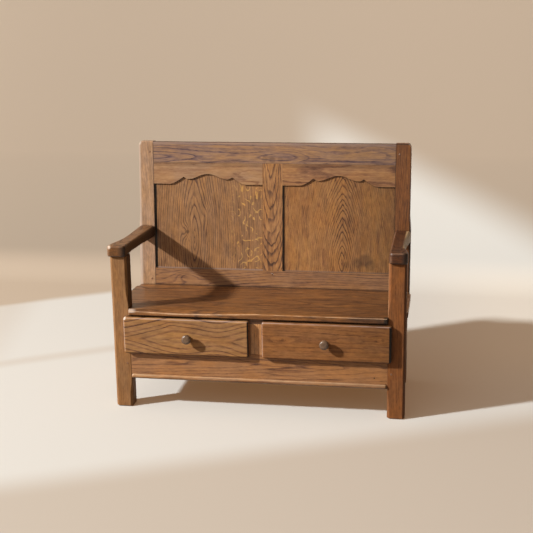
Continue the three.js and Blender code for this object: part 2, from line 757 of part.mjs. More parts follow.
// Half-round bead planted along the foot of the front rail, its ends rounded back
function beadSolid() {
  const radius = beadHeight / 2;
  const reach = postInner - fit;
  const face = railFront - fit;
  const middle = lowerRailBase + radius;
  const ring = (x, scale) => spread(roundSteps * 2).map((share) => {
    const turn = Math.PI * share;
    return [x, face - radius * scale * Math.sin(turn), middle - radius * scale * Math.cos(turn)];
  });
  const ends = spread(roundSteps).slice(1);
  const rounding = ends.map((share) => [1 - Math.cos(quarterTurn * share), Math.sin(quarterTurn * share)]);
  const rings = [
    ...rounding.map(([step, scale]) => ring(-reach + radius * step, scale)),
    ...rounding.toReversed().map(([step, scale]) => ring(reach - radius * step, scale)),
  ];
  rings.forEach((points) => points.reverse());
  return loft(rings);
}

// Rails and panel of one side, between post and stile
const sideSpan = [postDepth + fit, frameDepth - fit];

function sideTopRailSolid() {
  const profile = outline([
    [sideSpan[0], sideRailBase],
    [sideSpan[1], sideRailBase],
    [sideSpan[1], seatUnderAt(sideSpan[1]) - fit],
    [sideSpan[0], seatUnderAt(sideSpan[0]) - fit],
  ]);
  const groove = [sideTongue, sidePanelField[1], [sideRailBase - overrun, sideRailBase + panelDepth]];
  const body = prismX(profile, sideBack, sideFace).subtract(socket(groove));
  return joined([body, ...sideTopTenons.map((spans) => tenon(spans))]);
}

function sideLowerRailSolid() {
  const body = slab([sideBack, sideFace], sideSpan, [sideLowerBase, openingBase]);
  const groove = [sideTongue, sidePanelField[1], [openingBase - panelDepth, openingBase + overrun]];
  return joined([body.subtract(socket(groove)), ...sideLowerTenons.map((spans) => tenon(spans))]);
}

// Rails at the back below the seat
function backLowRail(ends, tenonSpans, grooveHeights) {
  const body = slab([-bayEnd, bayEnd], [frameDepth, frameDepth + railThickness], ends);
  const groove = [lowPanelField[0], rearTongue, grooveHeights];
  return joined([body.subtract(socket(groove)), ...bothSides(tenonSpans).map((spans) => tenon(spans))]);
}

function seatRailSolid() {
  const groove = [seatRailBase - overrun, seatRailBase + panelDepth];
  return backLowRail([seatRailBase, seatRailTop], seatRailTenon, groove);
}

function backLowerRailSolid() {
  const groove = [openingBase - panelDepth, openingBase + overrun];
  const rail = backLowRail([lowerRailBase, openingBase], backLowerTenon, groove);
  return without(rail, runnerStubs.map((stubs) => socket(stubs[1])));
}

// Ledger that carries the rear edge of the seat
function ledgerSolid() {
  const [front, rear] = [frameDepth - fit - ledgerWidth, frameDepth - fit];
  const profile = outline([
    [front, seatUnderAt(front) - fit - ledgerHeight],
    [rear, seatUnderAt(front) - fit - ledgerHeight],
    [rear, seatUnderAt(rear) - fit],
    [front, seatUnderAt(front) - fit],
  ]);
  return prismX(profile, -bayEnd, bayEnd);
}

// The room that a post needs in what is notched round it; runners take no more than its inner part
const postNotch = (heights) => [
  [postInner - fit, postOuter + overrun],
  [-seatOverhang - overrun, postDepth + fit],
  heights.map((height, end) => height + (end === 0 ? -overrun : overrun)),
];

// Seat: one plank, sloping a little to the back, notched round the posts, its front edge rounded and worn
function seatSolid() {
  const plain = postOuter - seatEndInset;
  const half = plain + seatEar;
  const frontHalf = postInner - fit;
  const rear = frameDepth - fit;
  const section = (x) => {
    const away = Math.abs(x / half - seatWearPlaceShare) / seatWearReachShare;
    const wear = Math.cos(quarterTurn * Math.min(1, away)) ** 2;
    const run = seatNoseRun + seatWearRun * wear;
    const rise = seatNoseRise + seatWearRise * wear;
    const under = Math.min(seatNoseUnder, (seatThickness - rise) * seatUnderShare);
    const nose = spread(roundSteps * 2).map((share) => {
      const turn = quarterTurn * share;
      const y = -seatOverhang + run * (1 - Math.sin(turn));
      return [x, y, seatTopAt(y) - rise * (1 - Math.cos(turn))];
    });
    const low = spread(roundSteps).map((share) => {
      const turn = quarterTurn * share;
      const y = -seatOverhang + under * (1 - Math.cos(turn));
      return [x, y, seatUnderAt(y) + under * (1 - Math.sin(turn))];
    });
    return [[x, rear, seatUnderAt(rear)], [x, rear, seatTopAt(rear)], ...nose, ...low];
  };
  const stations = spread(seatStations).map((share) => mix(-half, half, share));
  const plank = loft(stations.map(section));
  const heights = [seatRearHeight - seatThickness - overrun, seatFrontHeight + overrun];
  const [cornerX, cornerY] = [frontHalf - seatCornerRadius, -seatOverhang + seatCornerRadius];
  const corner = outline([
    [frontHalf + overrun, -seatOverhang - overrun],
    [frontHalf + overrun, cornerY],
    ...spread(roundSteps).map((share) => [
      cornerX + seatCornerRadius * Math.cos(quarterTurn * share),
      cornerY - seatCornerRadius * Math.sin(quarterTurn * share),
    ]),
    [cornerX, -seatOverhang - overrun],
  ]);
  const rounding = prismZ(corner, ...heights);
  const ends = [
    [-seatOverhang - overrun, postDepth + seatEarStart],
    [frameDepth - seatEarEnd, frameDepth + overrun],
  ].flatMap((reach) => bothSides([[plain, half + overrun], reach, heights]));
  return without(plank, [
    ...bothSides(postNotch(heights)).map((spans) => slab(...spans)),
    ...ends.map((spans) => slab(...spans)),
    rounding,
    mirrored(rounding),
  ]);
}

// Runners, guides and kickers: what carries, leads and holds down the drawers
const drawerOuter = postInner - slideGap;
const drawerInner = dividerHalf + slideGap;
const drawerLength = frameDepth - drawerRearGap;
const drawerMiddle = (drawerOuter + drawerInner) / 2;
const drawerHalf = (drawerOuter - drawerInner) / 2;
const innermost = Math.min(drawerOuter, stileInner);
const outerRunnerSpan = [innermost - runnerCover, sideBack - fit];
const centreRunnerSpan = [-drawerInner - runnerCover, drawerInner + runnerCover];
const runnerZ = [openingBase - runnerHeight, openingBase];
const runnerStubZ = [runnerZ[0] + runnerHeight / 4, runnerZ[1] - runnerHeight / 4];
const runnerStubY = [
  [railBack - runnerStub, railBack + overrun],
  [frameDepth - overrun, frameDepth + runnerStub],
];
const stubsOf = (span) => runnerStubY.map((ends) => [span, ends, runnerStubZ]);
const outerRunnerStubs = stubsOf([
  outerRunnerSpan[0] + runnerShoulder,
  innermost - runnerShoulder,
]);
const centreRunnerStubs = stubsOf([-dividerHalf, dividerHalf]);
const runnerStubs = [outerRunnerStubs, outerRunnerStubs.map(flipped), centreRunnerStubs];

function runnerSolid(span, stubs) {
  const body = slab(span, [railBack + fit, frameDepth - fit], runnerZ);
  return without(joined([body, ...stubs.map((spans) => tenon(spans))]), [slab(...postNotch(runnerZ))]);
}

function guideSolid(span, front) {
  return slab(span, [front + fit, frameDepth - fit], [openingBase + fit, openingBase + guideHeight]);
}

function kickerSolid(span) {
  const [front, rear] = [railBack + fit, frameDepth - ledgerWidth - fit * 2];
  const profile = outline([
    [front, openingHead],
    [rear, openingHead],
    [rear, seatUnderAt(rear) - fit],
    [front, seatUnderAt(front) - fit],
  ]);
  return prismX(profile, ...span).subtract(slab(...postNotch([openingHead - overrun, seatFrontHeight])));
}

// Drawer pieces, with x from the middle of the drawer
const boxBase = openingBase + fit;
const boxTop = openingHead - drawerSideDrop;
const frontRear = -fit;
const frontFace = frontRear - drawerFrontThickness;
const frontHalfWidth = drawerHalf + slideGap + drawerLipSide;
const frontZ = [openingBase - drawerLipBottom, openingHead + drawerLipTop];
const sideIn = drawerHalf - drawerSideThickness;
const bottomZ = [boxBase + drawerBottomRaise, boxBase + drawerBottomRaise + drawerBottomThickness];
const bottomHalf = sideIn + drawerGroove;
const bottomFront = frontRear - drawerGroove;
const backY = [
  drawerLength - drawerBackInset - drawerSideThickness,
  drawerLength - drawerBackInset,
];
const backHalf = sideIn + drawerGroove;

// Dovetailed end of a drawer side, as seen from above
function drawerTail(spare, height) {
  const middle = drawerHalf - drawerSideThickness / 2;
  const [neck, end] = [drawerTailNeck / 2 + spare, drawerTailEnd / 2 + spare];
  const shape = outline([
    [middle - neck, overrun],
    [middle - end, frontRear - drawerTailDepth - spare],
    [middle + end, frontRear - drawerTailDepth - spare],
    [middle + neck, overrun],
  ]);
  return prismZ(shape, ...height);
}

// Lipped front with rounded edges, shifted along the bench on its drawer
function drawerFrontSolid(shift, knobPlace) {
  const ring = (y, inset) => {
    const radius = drawerArris - inset / 2;
    const reach = frontHalfWidth - inset - radius;
    const [x0, x1] = [shift - reach, shift + reach];
    const [z0, z1] = [frontZ[0] + inset + radius, frontZ[1] - inset - radius];
    const corners = [[x1, z1, 0], [x0, z1, 1], [x0, z0, 2], [x1, z0, 3]];
    return corners.flatMap(([cx, cz, quarter]) => spread(2).map((share) => {
      const turn = quarterTurn * (quarter + share);
      return [cx + radius * Math.cos(turn), y, cz + radius * Math.sin(turn)];
    }));
  };
  const rounding = spread(roundSteps).map((share) => {
    const turn = quarterTurn * share;
    return ring(frontFace + drawerArris * (1 - Math.sin(turn)), drawerArris * (1 - Math.cos(turn)));
  });
  const board = loft([ring(frontRear, 0), ...rounding]);
  const tail = drawerTail(fit, [frontZ[0] - overrun, boxTop + fit]);
  const groove = [[-bottomHalf, bottomHalf], [bottomFront, frontRear + overrun], bottomZ];
  const hole = knobSpindle(fit, overrun).translate([knobPlace, 0, 0]);
  return without(board, [tail, mirrored(tail), socket(groove), hole]);
}

function drawerSideSolid() {
  const body = slab([sideIn, drawerHalf], [0, drawerLength], [boxBase, boxTop]);
  const grooveX = [sideIn - overrun, sideIn + drawerGroove];
  const bottomGroove = [grooveX, [-overrun, drawerLength + overrun], bottomZ];
  const housing = [grooveX, backY, [bottomZ[1], boxTop + overrun]];
  const tail = drawerTail(0, [boxBase, boxTop]);
  return without(joined([body, tail]), [socket(bottomGroove), socket(housing)]);
}

function drawerBackSolid() {
  return slab([-backHalf, backHalf], backY, [bottomZ[1] + fit, boxTop - drawerBackDrop]);
}

function drawerBottomSolid() {
  return slab([-bottomHalf, bottomHalf], [bottomFront, drawerLength], bottomZ);
}

// Turned knob, its spindle let into the front; y runs in from the face of the front
const knobHeight = (frontZ[0] + frontZ[1]) / 2;

function turned(profile) {
  const lathe = new THREE.LatheGeometry(profile.map(([r, y]) => new THREE.Vector2(r, y)), turnSteps);
  return solidOf(lathe, new THREE.Matrix4().makeTranslation(0, 0, knobHeight));
}

function knobSpindle(spare, start) {
  const radius = knobSpindleRadius + spare;
  const end = frontFace + drawerFrontThickness * knobSpindleShare + spare;
  return turned([[0, frontFace - start], [radius, frontFace - start], [radius, end], [0, end]]);
}

function knobSolid() {
  const front = frontFace - fit - knobReach;
  const at = (share) => frontFace - fit - knobReach * share;
  const dome = spread(roundSteps).map((share) => {
    const turn = quarterTurn * share;
    const face = knobRadius * knobFaceShare;
    return [
      face + (knobRadius - face) * Math.sin(turn),
      mix(at(knobDomeShare), front, Math.cos(turn)),
    ];
  });
  const shoulder = spread(roundSteps).slice(1).map((share) => {
    const turn = quarterTurn * share;
    return [
      mix(knobNeckRadius, knobRadius, Math.cos(turn)),
      mix(at(knobShoulderShare), at(knobNeckShare), Math.sin(turn)),
    ];
  });
  const foot = [
    [knobFootRadius, frontFace - fit - knobFootHeight],
    [knobFootRadius, frontFace - fit],
    [0, frontFace - fit],
  ];
  return joined([
    turned([[0, front], ...dome, [knobRadius, at(knobShoulderShare)], ...shoulder, ...foot]),
    knobSpindle(0, overrun / 2),
  ]);
}

// The back, in its leaning frame
const back = new THREE.Group();
back.applyMatrix4(leaning);
bench.add(back);
add('back_top_rail', crownRailSolid(), 'frame', back);
add('back_bottom_rail', bottomRailSolid(), 'frame', back);
add('back_muntin', muntinSolid(), 'frame', back);
addPair('shaped_rail', shapedRailSolid(), 'frame', back);
addPair('back_panel', slab(...panelField), 'panel', back);
addPair('top_rail_peg', backPeg(crownPeg), 'peg', back);
addPair('bottom_rail_peg', backPeg(bottomPeg), 'peg', back);
add('muntin_peg', backPeg(muntinPeg), 'peg', back);

// The upright frame
add('back_stile_right', stileSolid(stileRightRadius), 'frame');
add('back_stile_left', mirrored(stileSolid(stileCornerRadius)), 'frame');
addPair('front_post', postSolid(), 'frame');
add('front_lower_rail', frontLowerRailSolid(), 'frame');
add('front_rail_bead', beadSolid(), 'frame');
add('front_top_rail', frontTopRailSolid(), 'frame');
add('drawer_divider', dividerSolid(), 'frame');
addPair('side_top_rail', sideTopRailSolid(), 'frame');
addPair('side_lower_rail', sideLowerRailSolid(), 'frame');
addPair('side_panel', slab(...sidePanelField), 'panel');
add('seat_rail', seatRailSolid(), 'frame');
add('back_lower_rail', backLowerRailSolid(), 'frame');
add('back_lower_panel', slab(...lowPanelField), 'panel');
add('seat_ledger', ledgerSolid(), 'inside');
addPair('front_post_peg', pegSolid(pegRadius, 0, postPeg, frontPegEnd, pegProud), 'peg');

// Seat and arms
add('seat_board', seatSolid(), 'seat');
add('arm_right', armSolid(0), 'frame');
add('arm_left', mirrored(armSolid(armLeftExtra)), 'frame');

// What the drawers run on
addPair('outer_runner', runnerSolid(outerRunnerSpan, outerRunnerStubs), 'inside');
add('centre_runner', runnerSolid(centreRunnerSpan, centreRunnerStubs), 'inside');
addPair('outer_guide', guideSolid([postInner, sideBack - fit], postDepth), 'inside');
add('centre_guide', guideSolid([-dividerHalf, dividerHalf], railBack), 'inside');
addPair('outer_kicker', kickerSolid(outerRunnerSpan), 'inside');
add('centre_kicker', kickerSolid(centreRunnerSpan), 'inside');

// Two drawers, alike but for the reach of the front
const drawerPlaces = [
  ['left', -drawerMiddle, -drawerLeftShift, knobInward],
  ['right', drawerMiddle, drawerRightShift, -knobInward],
];
for (const [side, place, shift, knobPlace] of drawerPlaces) {
  const drawer = new THREE.Group();
  drawer.position.x = place;
  bench.add(drawer);
  add(`drawer_${side}_front`, drawerFrontSolid(shift, knobPlace), 'panel', drawer);
  add(`drawer_${side}_right_side`, drawerSideSolid(), 'inside', drawer);
  add(`drawer_${side}_left_side`, mirrored(drawerSideSolid()), 'inside', drawer);
  add(`drawer_${side}_back`, drawerBackSolid(), 'inside', drawer);
  add(`drawer_${side}_bottom`, drawerBottomSolid(), 'inside', drawer);
  add(`drawer_${side}_knob`, knobSolid().translate([knobPlace, 0, 0]), 'knob', drawer);
}

// The origin lies on the floor, under the middle of the bench
const reach = new THREE.Box3().setFromObject(bench);
bench.position.y = -(reach.min.y + reach.max.y) / 2;

export default bench;
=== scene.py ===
import json
import math

import bmesh
import bpy
from mathutils import Matrix, Vector


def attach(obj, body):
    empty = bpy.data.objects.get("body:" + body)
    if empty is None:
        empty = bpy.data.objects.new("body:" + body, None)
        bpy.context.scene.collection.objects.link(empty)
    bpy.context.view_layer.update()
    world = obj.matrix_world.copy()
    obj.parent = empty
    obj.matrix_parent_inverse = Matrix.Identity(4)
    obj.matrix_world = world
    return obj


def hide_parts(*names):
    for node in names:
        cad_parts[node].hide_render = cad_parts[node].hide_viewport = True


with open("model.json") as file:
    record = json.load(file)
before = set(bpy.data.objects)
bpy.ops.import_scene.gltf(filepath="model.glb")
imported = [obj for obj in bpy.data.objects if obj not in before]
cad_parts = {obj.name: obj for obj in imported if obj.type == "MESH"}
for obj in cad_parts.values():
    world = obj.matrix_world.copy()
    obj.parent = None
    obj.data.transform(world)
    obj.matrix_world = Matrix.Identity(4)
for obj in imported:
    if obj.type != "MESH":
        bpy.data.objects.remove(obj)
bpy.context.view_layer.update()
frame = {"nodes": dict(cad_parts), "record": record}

# Looks of the oak settle: slightly eased boards, waxed oak, one lamp, a room, a floor and a camera.
NODES = frame["nodes"]
BODY_OF = {node: body for body, nodes in frame["record"]["behaviour"]["bodies"].items() for node in nodes}
BOTH = ("left", "right")
MM = 0.001
scene = bpy.context.scene


# ---------------------------------------------------------------- node graphs
# How fine each pattern of the oak is: cycles per metre across, in depth and along the grain, then the
# noise's detail and roughness.
PATTERNS = {
    "sway": ((8.0, 8.0, 2.4), 2.0, 0.55),
    "flutter": ((60.0, 60.0, 14.0), 2.0, 0.6),
    "broken": ((170.0, 170.0, 14.0), 2.0, 0.6),
    "fibre": ((420.0, 420.0, 9.0), 3.0, 0.65),
    "streak": ((130.0, 130.0, 3.5), 3.0, 0.6),
    "dash": ((240.0, 240.0, 36.0), 1.0, 0.5),
    "pores": ((1100.0, 1100.0, 60.0), 1.0, 0.5),
    "cloudy": ((10.0, 10.0, 3.5), 3.0, 0.55),
    "seam": ((52.0, 52.0, 1.9), 1.0, 0.5),
    "seam_gaps": ((28.0, 28.0, 9.0), 1.0, 0.5),
    "fleck_curl": ((38.0, 38.0, 34.0), 0.0, 0.5),
    "fleck_patch": ((50.0, 50.0, 40.0), 1.0, 0.5),
    "speck": ((62.0, 62.0, 26.0), 3.0, 0.6),
    "warmth": ((24.0, 24.0, 8.0), 2.0, 0.5),
    "wear_and_sheen_patches": ((45.0, 45.0, 16.0), 2.0, 0.6),
}
# Where a pattern is cut into soft patches: from, to, and the values before and after unless they are 0 and 1.
CUTS = {
    "broken": (0.36, 0.60, 0.75, 1.15),
    "pores": (0.56, 0.68),
    "seam_gaps": (0.40, 0.60),
    "fleck_patch": (0.46, 0.54),
    "warmth": (0.36, 0.64),
    "wear_and_sheen_patches": (0.36, 0.62, 0.35, 1.0),
}
NOISE_MIDDLE = 0.5


class Graph:
    """A node tree in the making. An input takes a socket, which is linked, or a value."""

    def __init__(self, tree):
        self.tree = tree

    def plug(self, socket, value):
        if isinstance(value, bpy.types.NodeSocket):
            self.tree.links.new(value, socket)
        else:
            socket.default_value = value

    def put(self, kind, inputs=None, **settings):
        node = self.tree.nodes.new(kind)
        for name, value in settings.items():
            setattr(node, name, value)
        for key, value in (inputs or {}).items():
            self.plug(node.inputs[key], value)
        return node

    def calc(self, operation, *values):
        return self.put("ShaderNodeMath", dict(enumerate(values)), operation=operation).outputs[0]

    def add(self, first, *rest):
        for value in rest:
            first = self.calc("ADD", first, value)
        return first

    def less(self, first, second):
        return self.calc("SUBTRACT", first, second)

    def times(self, first, *rest):
        for value in rest:
            first = self.calc("MULTIPLY", first, value)
        return first

    def most(self, first, *rest):
        for value in rest:
            first = self.calc("MAXIMUM", first, value)
        return first

    def off_centre(self, value, weight):
        """A noise's swing about its middle."""
        return self.times(self.less(value, NOISE_MIDDLE), weight)

    def vector(self, operation, *values):
        node = self.put("ShaderNodeVectorMath", dict(enumerate(values)), operation=operation)
        return node.outputs["Value" if operation in ("DOT_PRODUCT", "LENGTH") else "Vector"]

    def split(self, value):
        return self.put("ShaderNodeSeparateXYZ", {0: value}).outputs

    def noise(self, place, pattern):
        scale, detail, roughness = PATTERNS[pattern]
        stretched = self.vector("MULTIPLY", place, scale)
        return self.put("ShaderNodeTexNoise", {
            "Vector": stretched, "Scale": 1.0, "Detail": detail, "Roughness": roughness}).outputs[0]

    def steps(self, value, low, high, start=0.0, end=1.0):
        """A soft step from start at low to end at high."""
        return self.put("ShaderNodeMapRange", {0: value, 1: low, 2: high, 3: start, 4: end},
                        interpolation_type="SMOOTHSTEP").outputs[0]

    def patches(self, place, pattern):
        return self.steps(self.noise(place, pattern), *CUTS[pattern])

    def blend(self, share, a, b, mode="MIX"):
        return self.put("ShaderNodeMix", {0: share, 6: a, 7: b}, data_type="RGBA", blend_type=mode).outputs[2]

    def dimmed(self, colour, level):
        """A colour times a grey level."""
        grey = self.put("ShaderNodeCombineColor", {0: level, 1: level, 2: level}).outputs[0]
        return self.blend(1.0, colour, grey, "MULTIPLY")

    def close(self, kind, socket):
        self.plug(self.put(kind).inputs[0], socket)


def new_material(name):
    """A material with an empty graph."""
    material = bpy.data.materials.new(name)
    material.use_nodes = True
    material.node_tree.nodes.clear()
    return material, Graph(material.node_tree)


def rgb(r, g, b):
    """A colour as it is read off a screen, 0 to 255."""
    return tuple(((v / 255 + 0.055) / 1.055) ** 2.4 for v in (r, g, b)) + (1.0,)


# ---------------------------------------------------------------- oak
OAK_INPUTS = {"Swell": 0.0, "Across": 0.0, "Depth": 0.06, "Slope": 0.05, "Power": 2.0, "Ring": 0.005,
              "Warp": 0.006, "Figure": 0.6, "Fibre": 0.5, "Cloud": 0.4, "Hair": 0.3, "Dash": 0.65,
              "Flutter": 0.005}
OAK_OUTPUTS = ("Tone", "Band", "Pore", "Cloudy")
SWAY_GAIN = 4.0                        # how far the slow sway moves a ring, against the board's Warp
WANDER_EVERY, WANDER_BY = 0.45, 1.1    # how often the rings' width changes, and by how many rings
LINE_DARKENS = (0.0, 0.12)             # shares of a ring over which its dark line comes
LINE_FADES = (0.14, 0.50, 1.0, 0.0)    # and goes
LINE_LEAST, LINE_SPREAD = 0.55, 0.75   # strength of the faintest line, and what the strongest has more
PORE_LEAST, PORE_IN_LINE = 0.3, 1.1    # how much pores show between the dark lines, and more in them
SEAM_EDGE = (0.010, 0.048, 1.0, 0.0)   # where a hair line is dark and where it has ended
STREAK_GAIN = 1.5                      # streaks against fibre
PORE_DARKENS = 0.35
BASE_TONE = 0.16


def oak_group():
    """Growth rings cut by a board, pores and cloudy tone. The grain runs along Z."""
    g = Graph(bpy.data.node_groups.new("oak_figure", "ShaderNodeTree"))
    face = g.tree.interface
    face.new_socket("Place", in_out="INPUT", socket_type="NodeSocketVector")
    for name, default in OAK_INPUTS.items():
        face.new_socket(name, in_out="INPUT", socket_type="NodeSocketFloat").default_value = default
    for name in OAK_OUTPUTS:
        face.new_socket(name, in_out="OUTPUT", socket_type="NodeSocketFloat")
    given = g.put("NodeGroupInput").outputs
    place = given["Place"]
    x, y, z = g.split(place)

    # distance from the heart line, bent by swells, sway and flutter, counted in rings
    across = g.calc("ABSOLUTE", g.less(x, given["Across"]))
    depth = g.calc("ABSOLUTE", g.add(g.less(y, given["Depth"]), g.times(z, given["Slope"])))
    power = given["Power"]
    both = g.add(g.calc("POWER", across, power), g.calc("POWER", depth, power))
    radius = g.calc("POWER", both, g.calc("DIVIDE", 1.0, power))
    sway = g.off_centre(g.noise(place, "sway"), g.times(given["Warp"], SWAY_GAIN))
    flutter = g.off_centre(g.noise(place, "flutter"), given["Flutter"])
    bent = g.add(g.add(radius, given["Swell"]), g.add(sway, flutter))
    turns = g.calc("DIVIDE", bent, given["Ring"])
    wander = g.put("ShaderNodeTexNoise", {"W": g.times(turns, WANDER_EVERY), "Scale": 1.0, "Detail": 1.0},
                   noise_dimensions="1D").outputs[0]
    turns = g.add(turns, g.times(wander, WANDER_BY))

    # one dark line a ring, of its own strength, and broken up along its run
    share = g.calc("FRACT", turns)
    band = g.times(g.steps(share, *LINE_DARKENS), g.steps(share, *LINE_FADES))
    which = g.put("ShaderNodeTexWhiteNoise", {"W": g.calc("FLOOR", turns)}, noise_dimensions="1D").outputs[0]
    band = g.times(band, g.add(LINE_LEAST, g.times(which, LINE_SPREAD)))
    band = g.times(band, g.patches(place, "broken"))

    pore = g.times(g.patches(place, "pores"), g.add(PORE_LEAST, g.times(band, PORE_IN_LINE)))
    cloudy = g.noise(place, "cloudy")
    seam = g.calc("ABSOLUTE", g.less(g.noise(place, "seam"), NOISE_MIDDLE))
    hair = g.times(g.steps(seam, *SEAM_EDGE), g.patches(place, "seam_gaps"))
    tone = g.add(
        g.times(band, given["Figure"]),
        g.off_centre(g.noise(place, "fibre"), given["Fibre"]),
        g.off_centre(g.noise(place, "streak"), g.times(given["Fibre"], STREAK_GAIN)),
        g.off_centre(g.noise(place, "dash"), given["Dash"]),
        g.off_centre(cloudy, given["Cloud"]),
        g.times(pore, PORE_DARKENS),
        g.times(hair, given["Hair"]),
        BASE_TONE)
    g.put("NodeGroupOutput", dict(zip(OAK_OUTPUTS, (tone, band, pore, cloudy))))
    return g.tree


OAK = oak_group()
GRAIN_TURNS = {"x": (0.0, math.pi / 2, 0.0), "y": (math.pi / 2, 0.0, 0.0), "z": (0.0, 0.0, 0.0)}
TONE_STOPS = (0.0, 0.36, 0.74, 1.0)
COOL, WARM = (0.97, 0.99, 1.05, 1.0), (1.04, 1.0, 0.90, 1.0)
# near-black, mostly painted shade in corners, in gaps and on edges turned from the lamp
NEAR_BLACK = (20, 11, 6)
STAIN = (62, 40, 30)
# painted shade for rims turned from the lamp
RIM_SHADE = (34, 20, 13)
LIT_SIDE = (-0.62, -0.25, 0.74)       # toward the lamp: rims that face this way are made pale with wear and painted highlight, and others get painted shade
LIT_ABOVE = (0.0, -0.25, 0.97)        # a way up, for boards whose rims get painted shade underneath alike at both ends
RUB_AND_SHEEN_TURN = (0.0, 0.8)               # cosines to the lamp's way between which the pale wear and painted highlight grow
# cosines from that way over which the painted shade on rims grows, and its largest share
SHADED_TURN, SHADED_MOST = (-0.45, 0.05), 0.85
CREVICE_REACH, CREVICE_RAYS = 11 * MM, 6
CREVICE_OPEN = (0.50, 0.80)            # how open a corner is that painted shade blackens, and one that is left clean
SPECK_CUT = (0.32, 0.68)
FLECK_LEVEL, FLECK_EDGE = 0.55, (0.026, 0.058)
FLECK_GAIN, FLECK_MOST = 1.9, 0.85
# shape of a spot: a stain, or a pale painted highlight
SPOT_DEPTH, SPOT_RAGGED = 0.03, 1.2
SPOT_EDGE = (0.55, 1.15)              # of its radius
EDGE_BAND_RAGGED = 0.4                     # of the width of its edge
LINE_ROUGH, PORE_ROUGH, RIM_SMOOTH = 0.08, 0.15, 0.10
LINE_RELIEF, PORE_RELIEF, RELIEF_DEPTH = -0.5, -1.0, 0.4 * MM


def as_cut(grain, spot):
    """A spot of the bench as (across, depth, along the grain) of a board."""
    x, y, z = spot
    return {"x": (z, y, -x), "y": (x, -z, y), "z": (x, y, z)}[grain]


def hump(g, place, middle, reach):
    """1 at the middle of a soft lump that fades out at its reach."""
    scaled = g.vector("DIVIDE", g.vector("SUBTRACT", place, middle), reach)
    return g.calc("EXPONENT", g.times(g.vector("DOT_PRODUCT", scaled, scaled), -1.0))


def cut_board(g, place, grain, heart, pitch, swells, zone, figure):
    """The oak group's outputs on one board."""
    across, depth, along = as_cut(grain, heart)
    node = g.put("ShaderNodeGroup", {
        "Place": place, "Across": across, "Slope": pitch, "Depth": depth + pitch * along,
        **{key.capitalize(): value for key, value in figure.items()}}, node_tree=OAK)
    if zone:
        spot, reach, strong, faint = zone
        within = hump(g, place, as_cut(grain, spot), reach)
        g.plug(node.inputs["Figure"], g.add(g.times(within, strong - faint), faint))
    lumps = [g.times(hump(g, place, as_cut(grain, spot), reach), rise) for spot, reach, rise in swells]
    if lumps:
        g.plug(node.inputs["Swell"], g.add(*lumps))
    return (node.outputs[name] for name in OAK_OUTPUTS)


def ramp_of(g, tone, tones):
    ramp = g.put("ShaderNodeValToRGB", {0: tone})
    stops = ramp.color_ramp.elements
    while len(stops) < len(tones):
        stops.new(0.5)
    for stop, at, paint in zip(stops, TONE_STOPS, tones):
        stop.position = at
        stop.color = rgb(*paint)
    return ramp.outputs[0]


def with_flecks(g, colour, place, grain, spot, reach, tint):
    """Curled pale flecks, as quartered oak has them, round a spot."""
    curl = g.calc("ABSOLUTE", g.less(g.noise(place, "fleck_curl"), FLECK_LEVEL))
    stroke = g.steps(curl, *FLECK_EDGE, 1.0, 0.0)
    share = g.times(stroke, g.patches(place, "fleck_patch"), hump(g, place, as_cut(grain, spot), reach))
    return g.blend(g.calc("MINIMUM", g.times(share, FLECK_GAIN), FLECK_MOST), colour, rgb(*tint))


# a soft spot: brown for a stain or knot, pale for a painted highlight
def with_spot(g, colour, here, cloudy, spot, radius, strength, mark_colour=STAIN):
    flat = g.vector("DIVIDE", g.vector("SUBTRACT", here, spot), (radius, SPOT_DEPTH, radius))
    ragged = g.add(g.vector("LENGTH", flat), g.off_centre(cloudy, SPOT_RAGGED))
    return g.blend(g.steps(ragged, *SPOT_EDGE, strength, 0.0), colour, rgb(*mark_colour))


# a band near an edge, of real dirt, painted shade or painted highlight, as a board's list gives it
def with_edge_band(g, colour, spots, speck, axis, start, end, strength, mark_colour, *limits):
    jitter = g.off_centre(speck, EDGE_BAND_RAGGED * abs(end - start))
    share = g.steps(g.add(spots[axis], jitter), start, end, strength, 0.0)
    for way, full, none in limits:
        share = g.times(share, g.steps(spots[way], full, none, 1.0, 0.0))
    return g.blend(share, colour, rgb(*mark_colour))


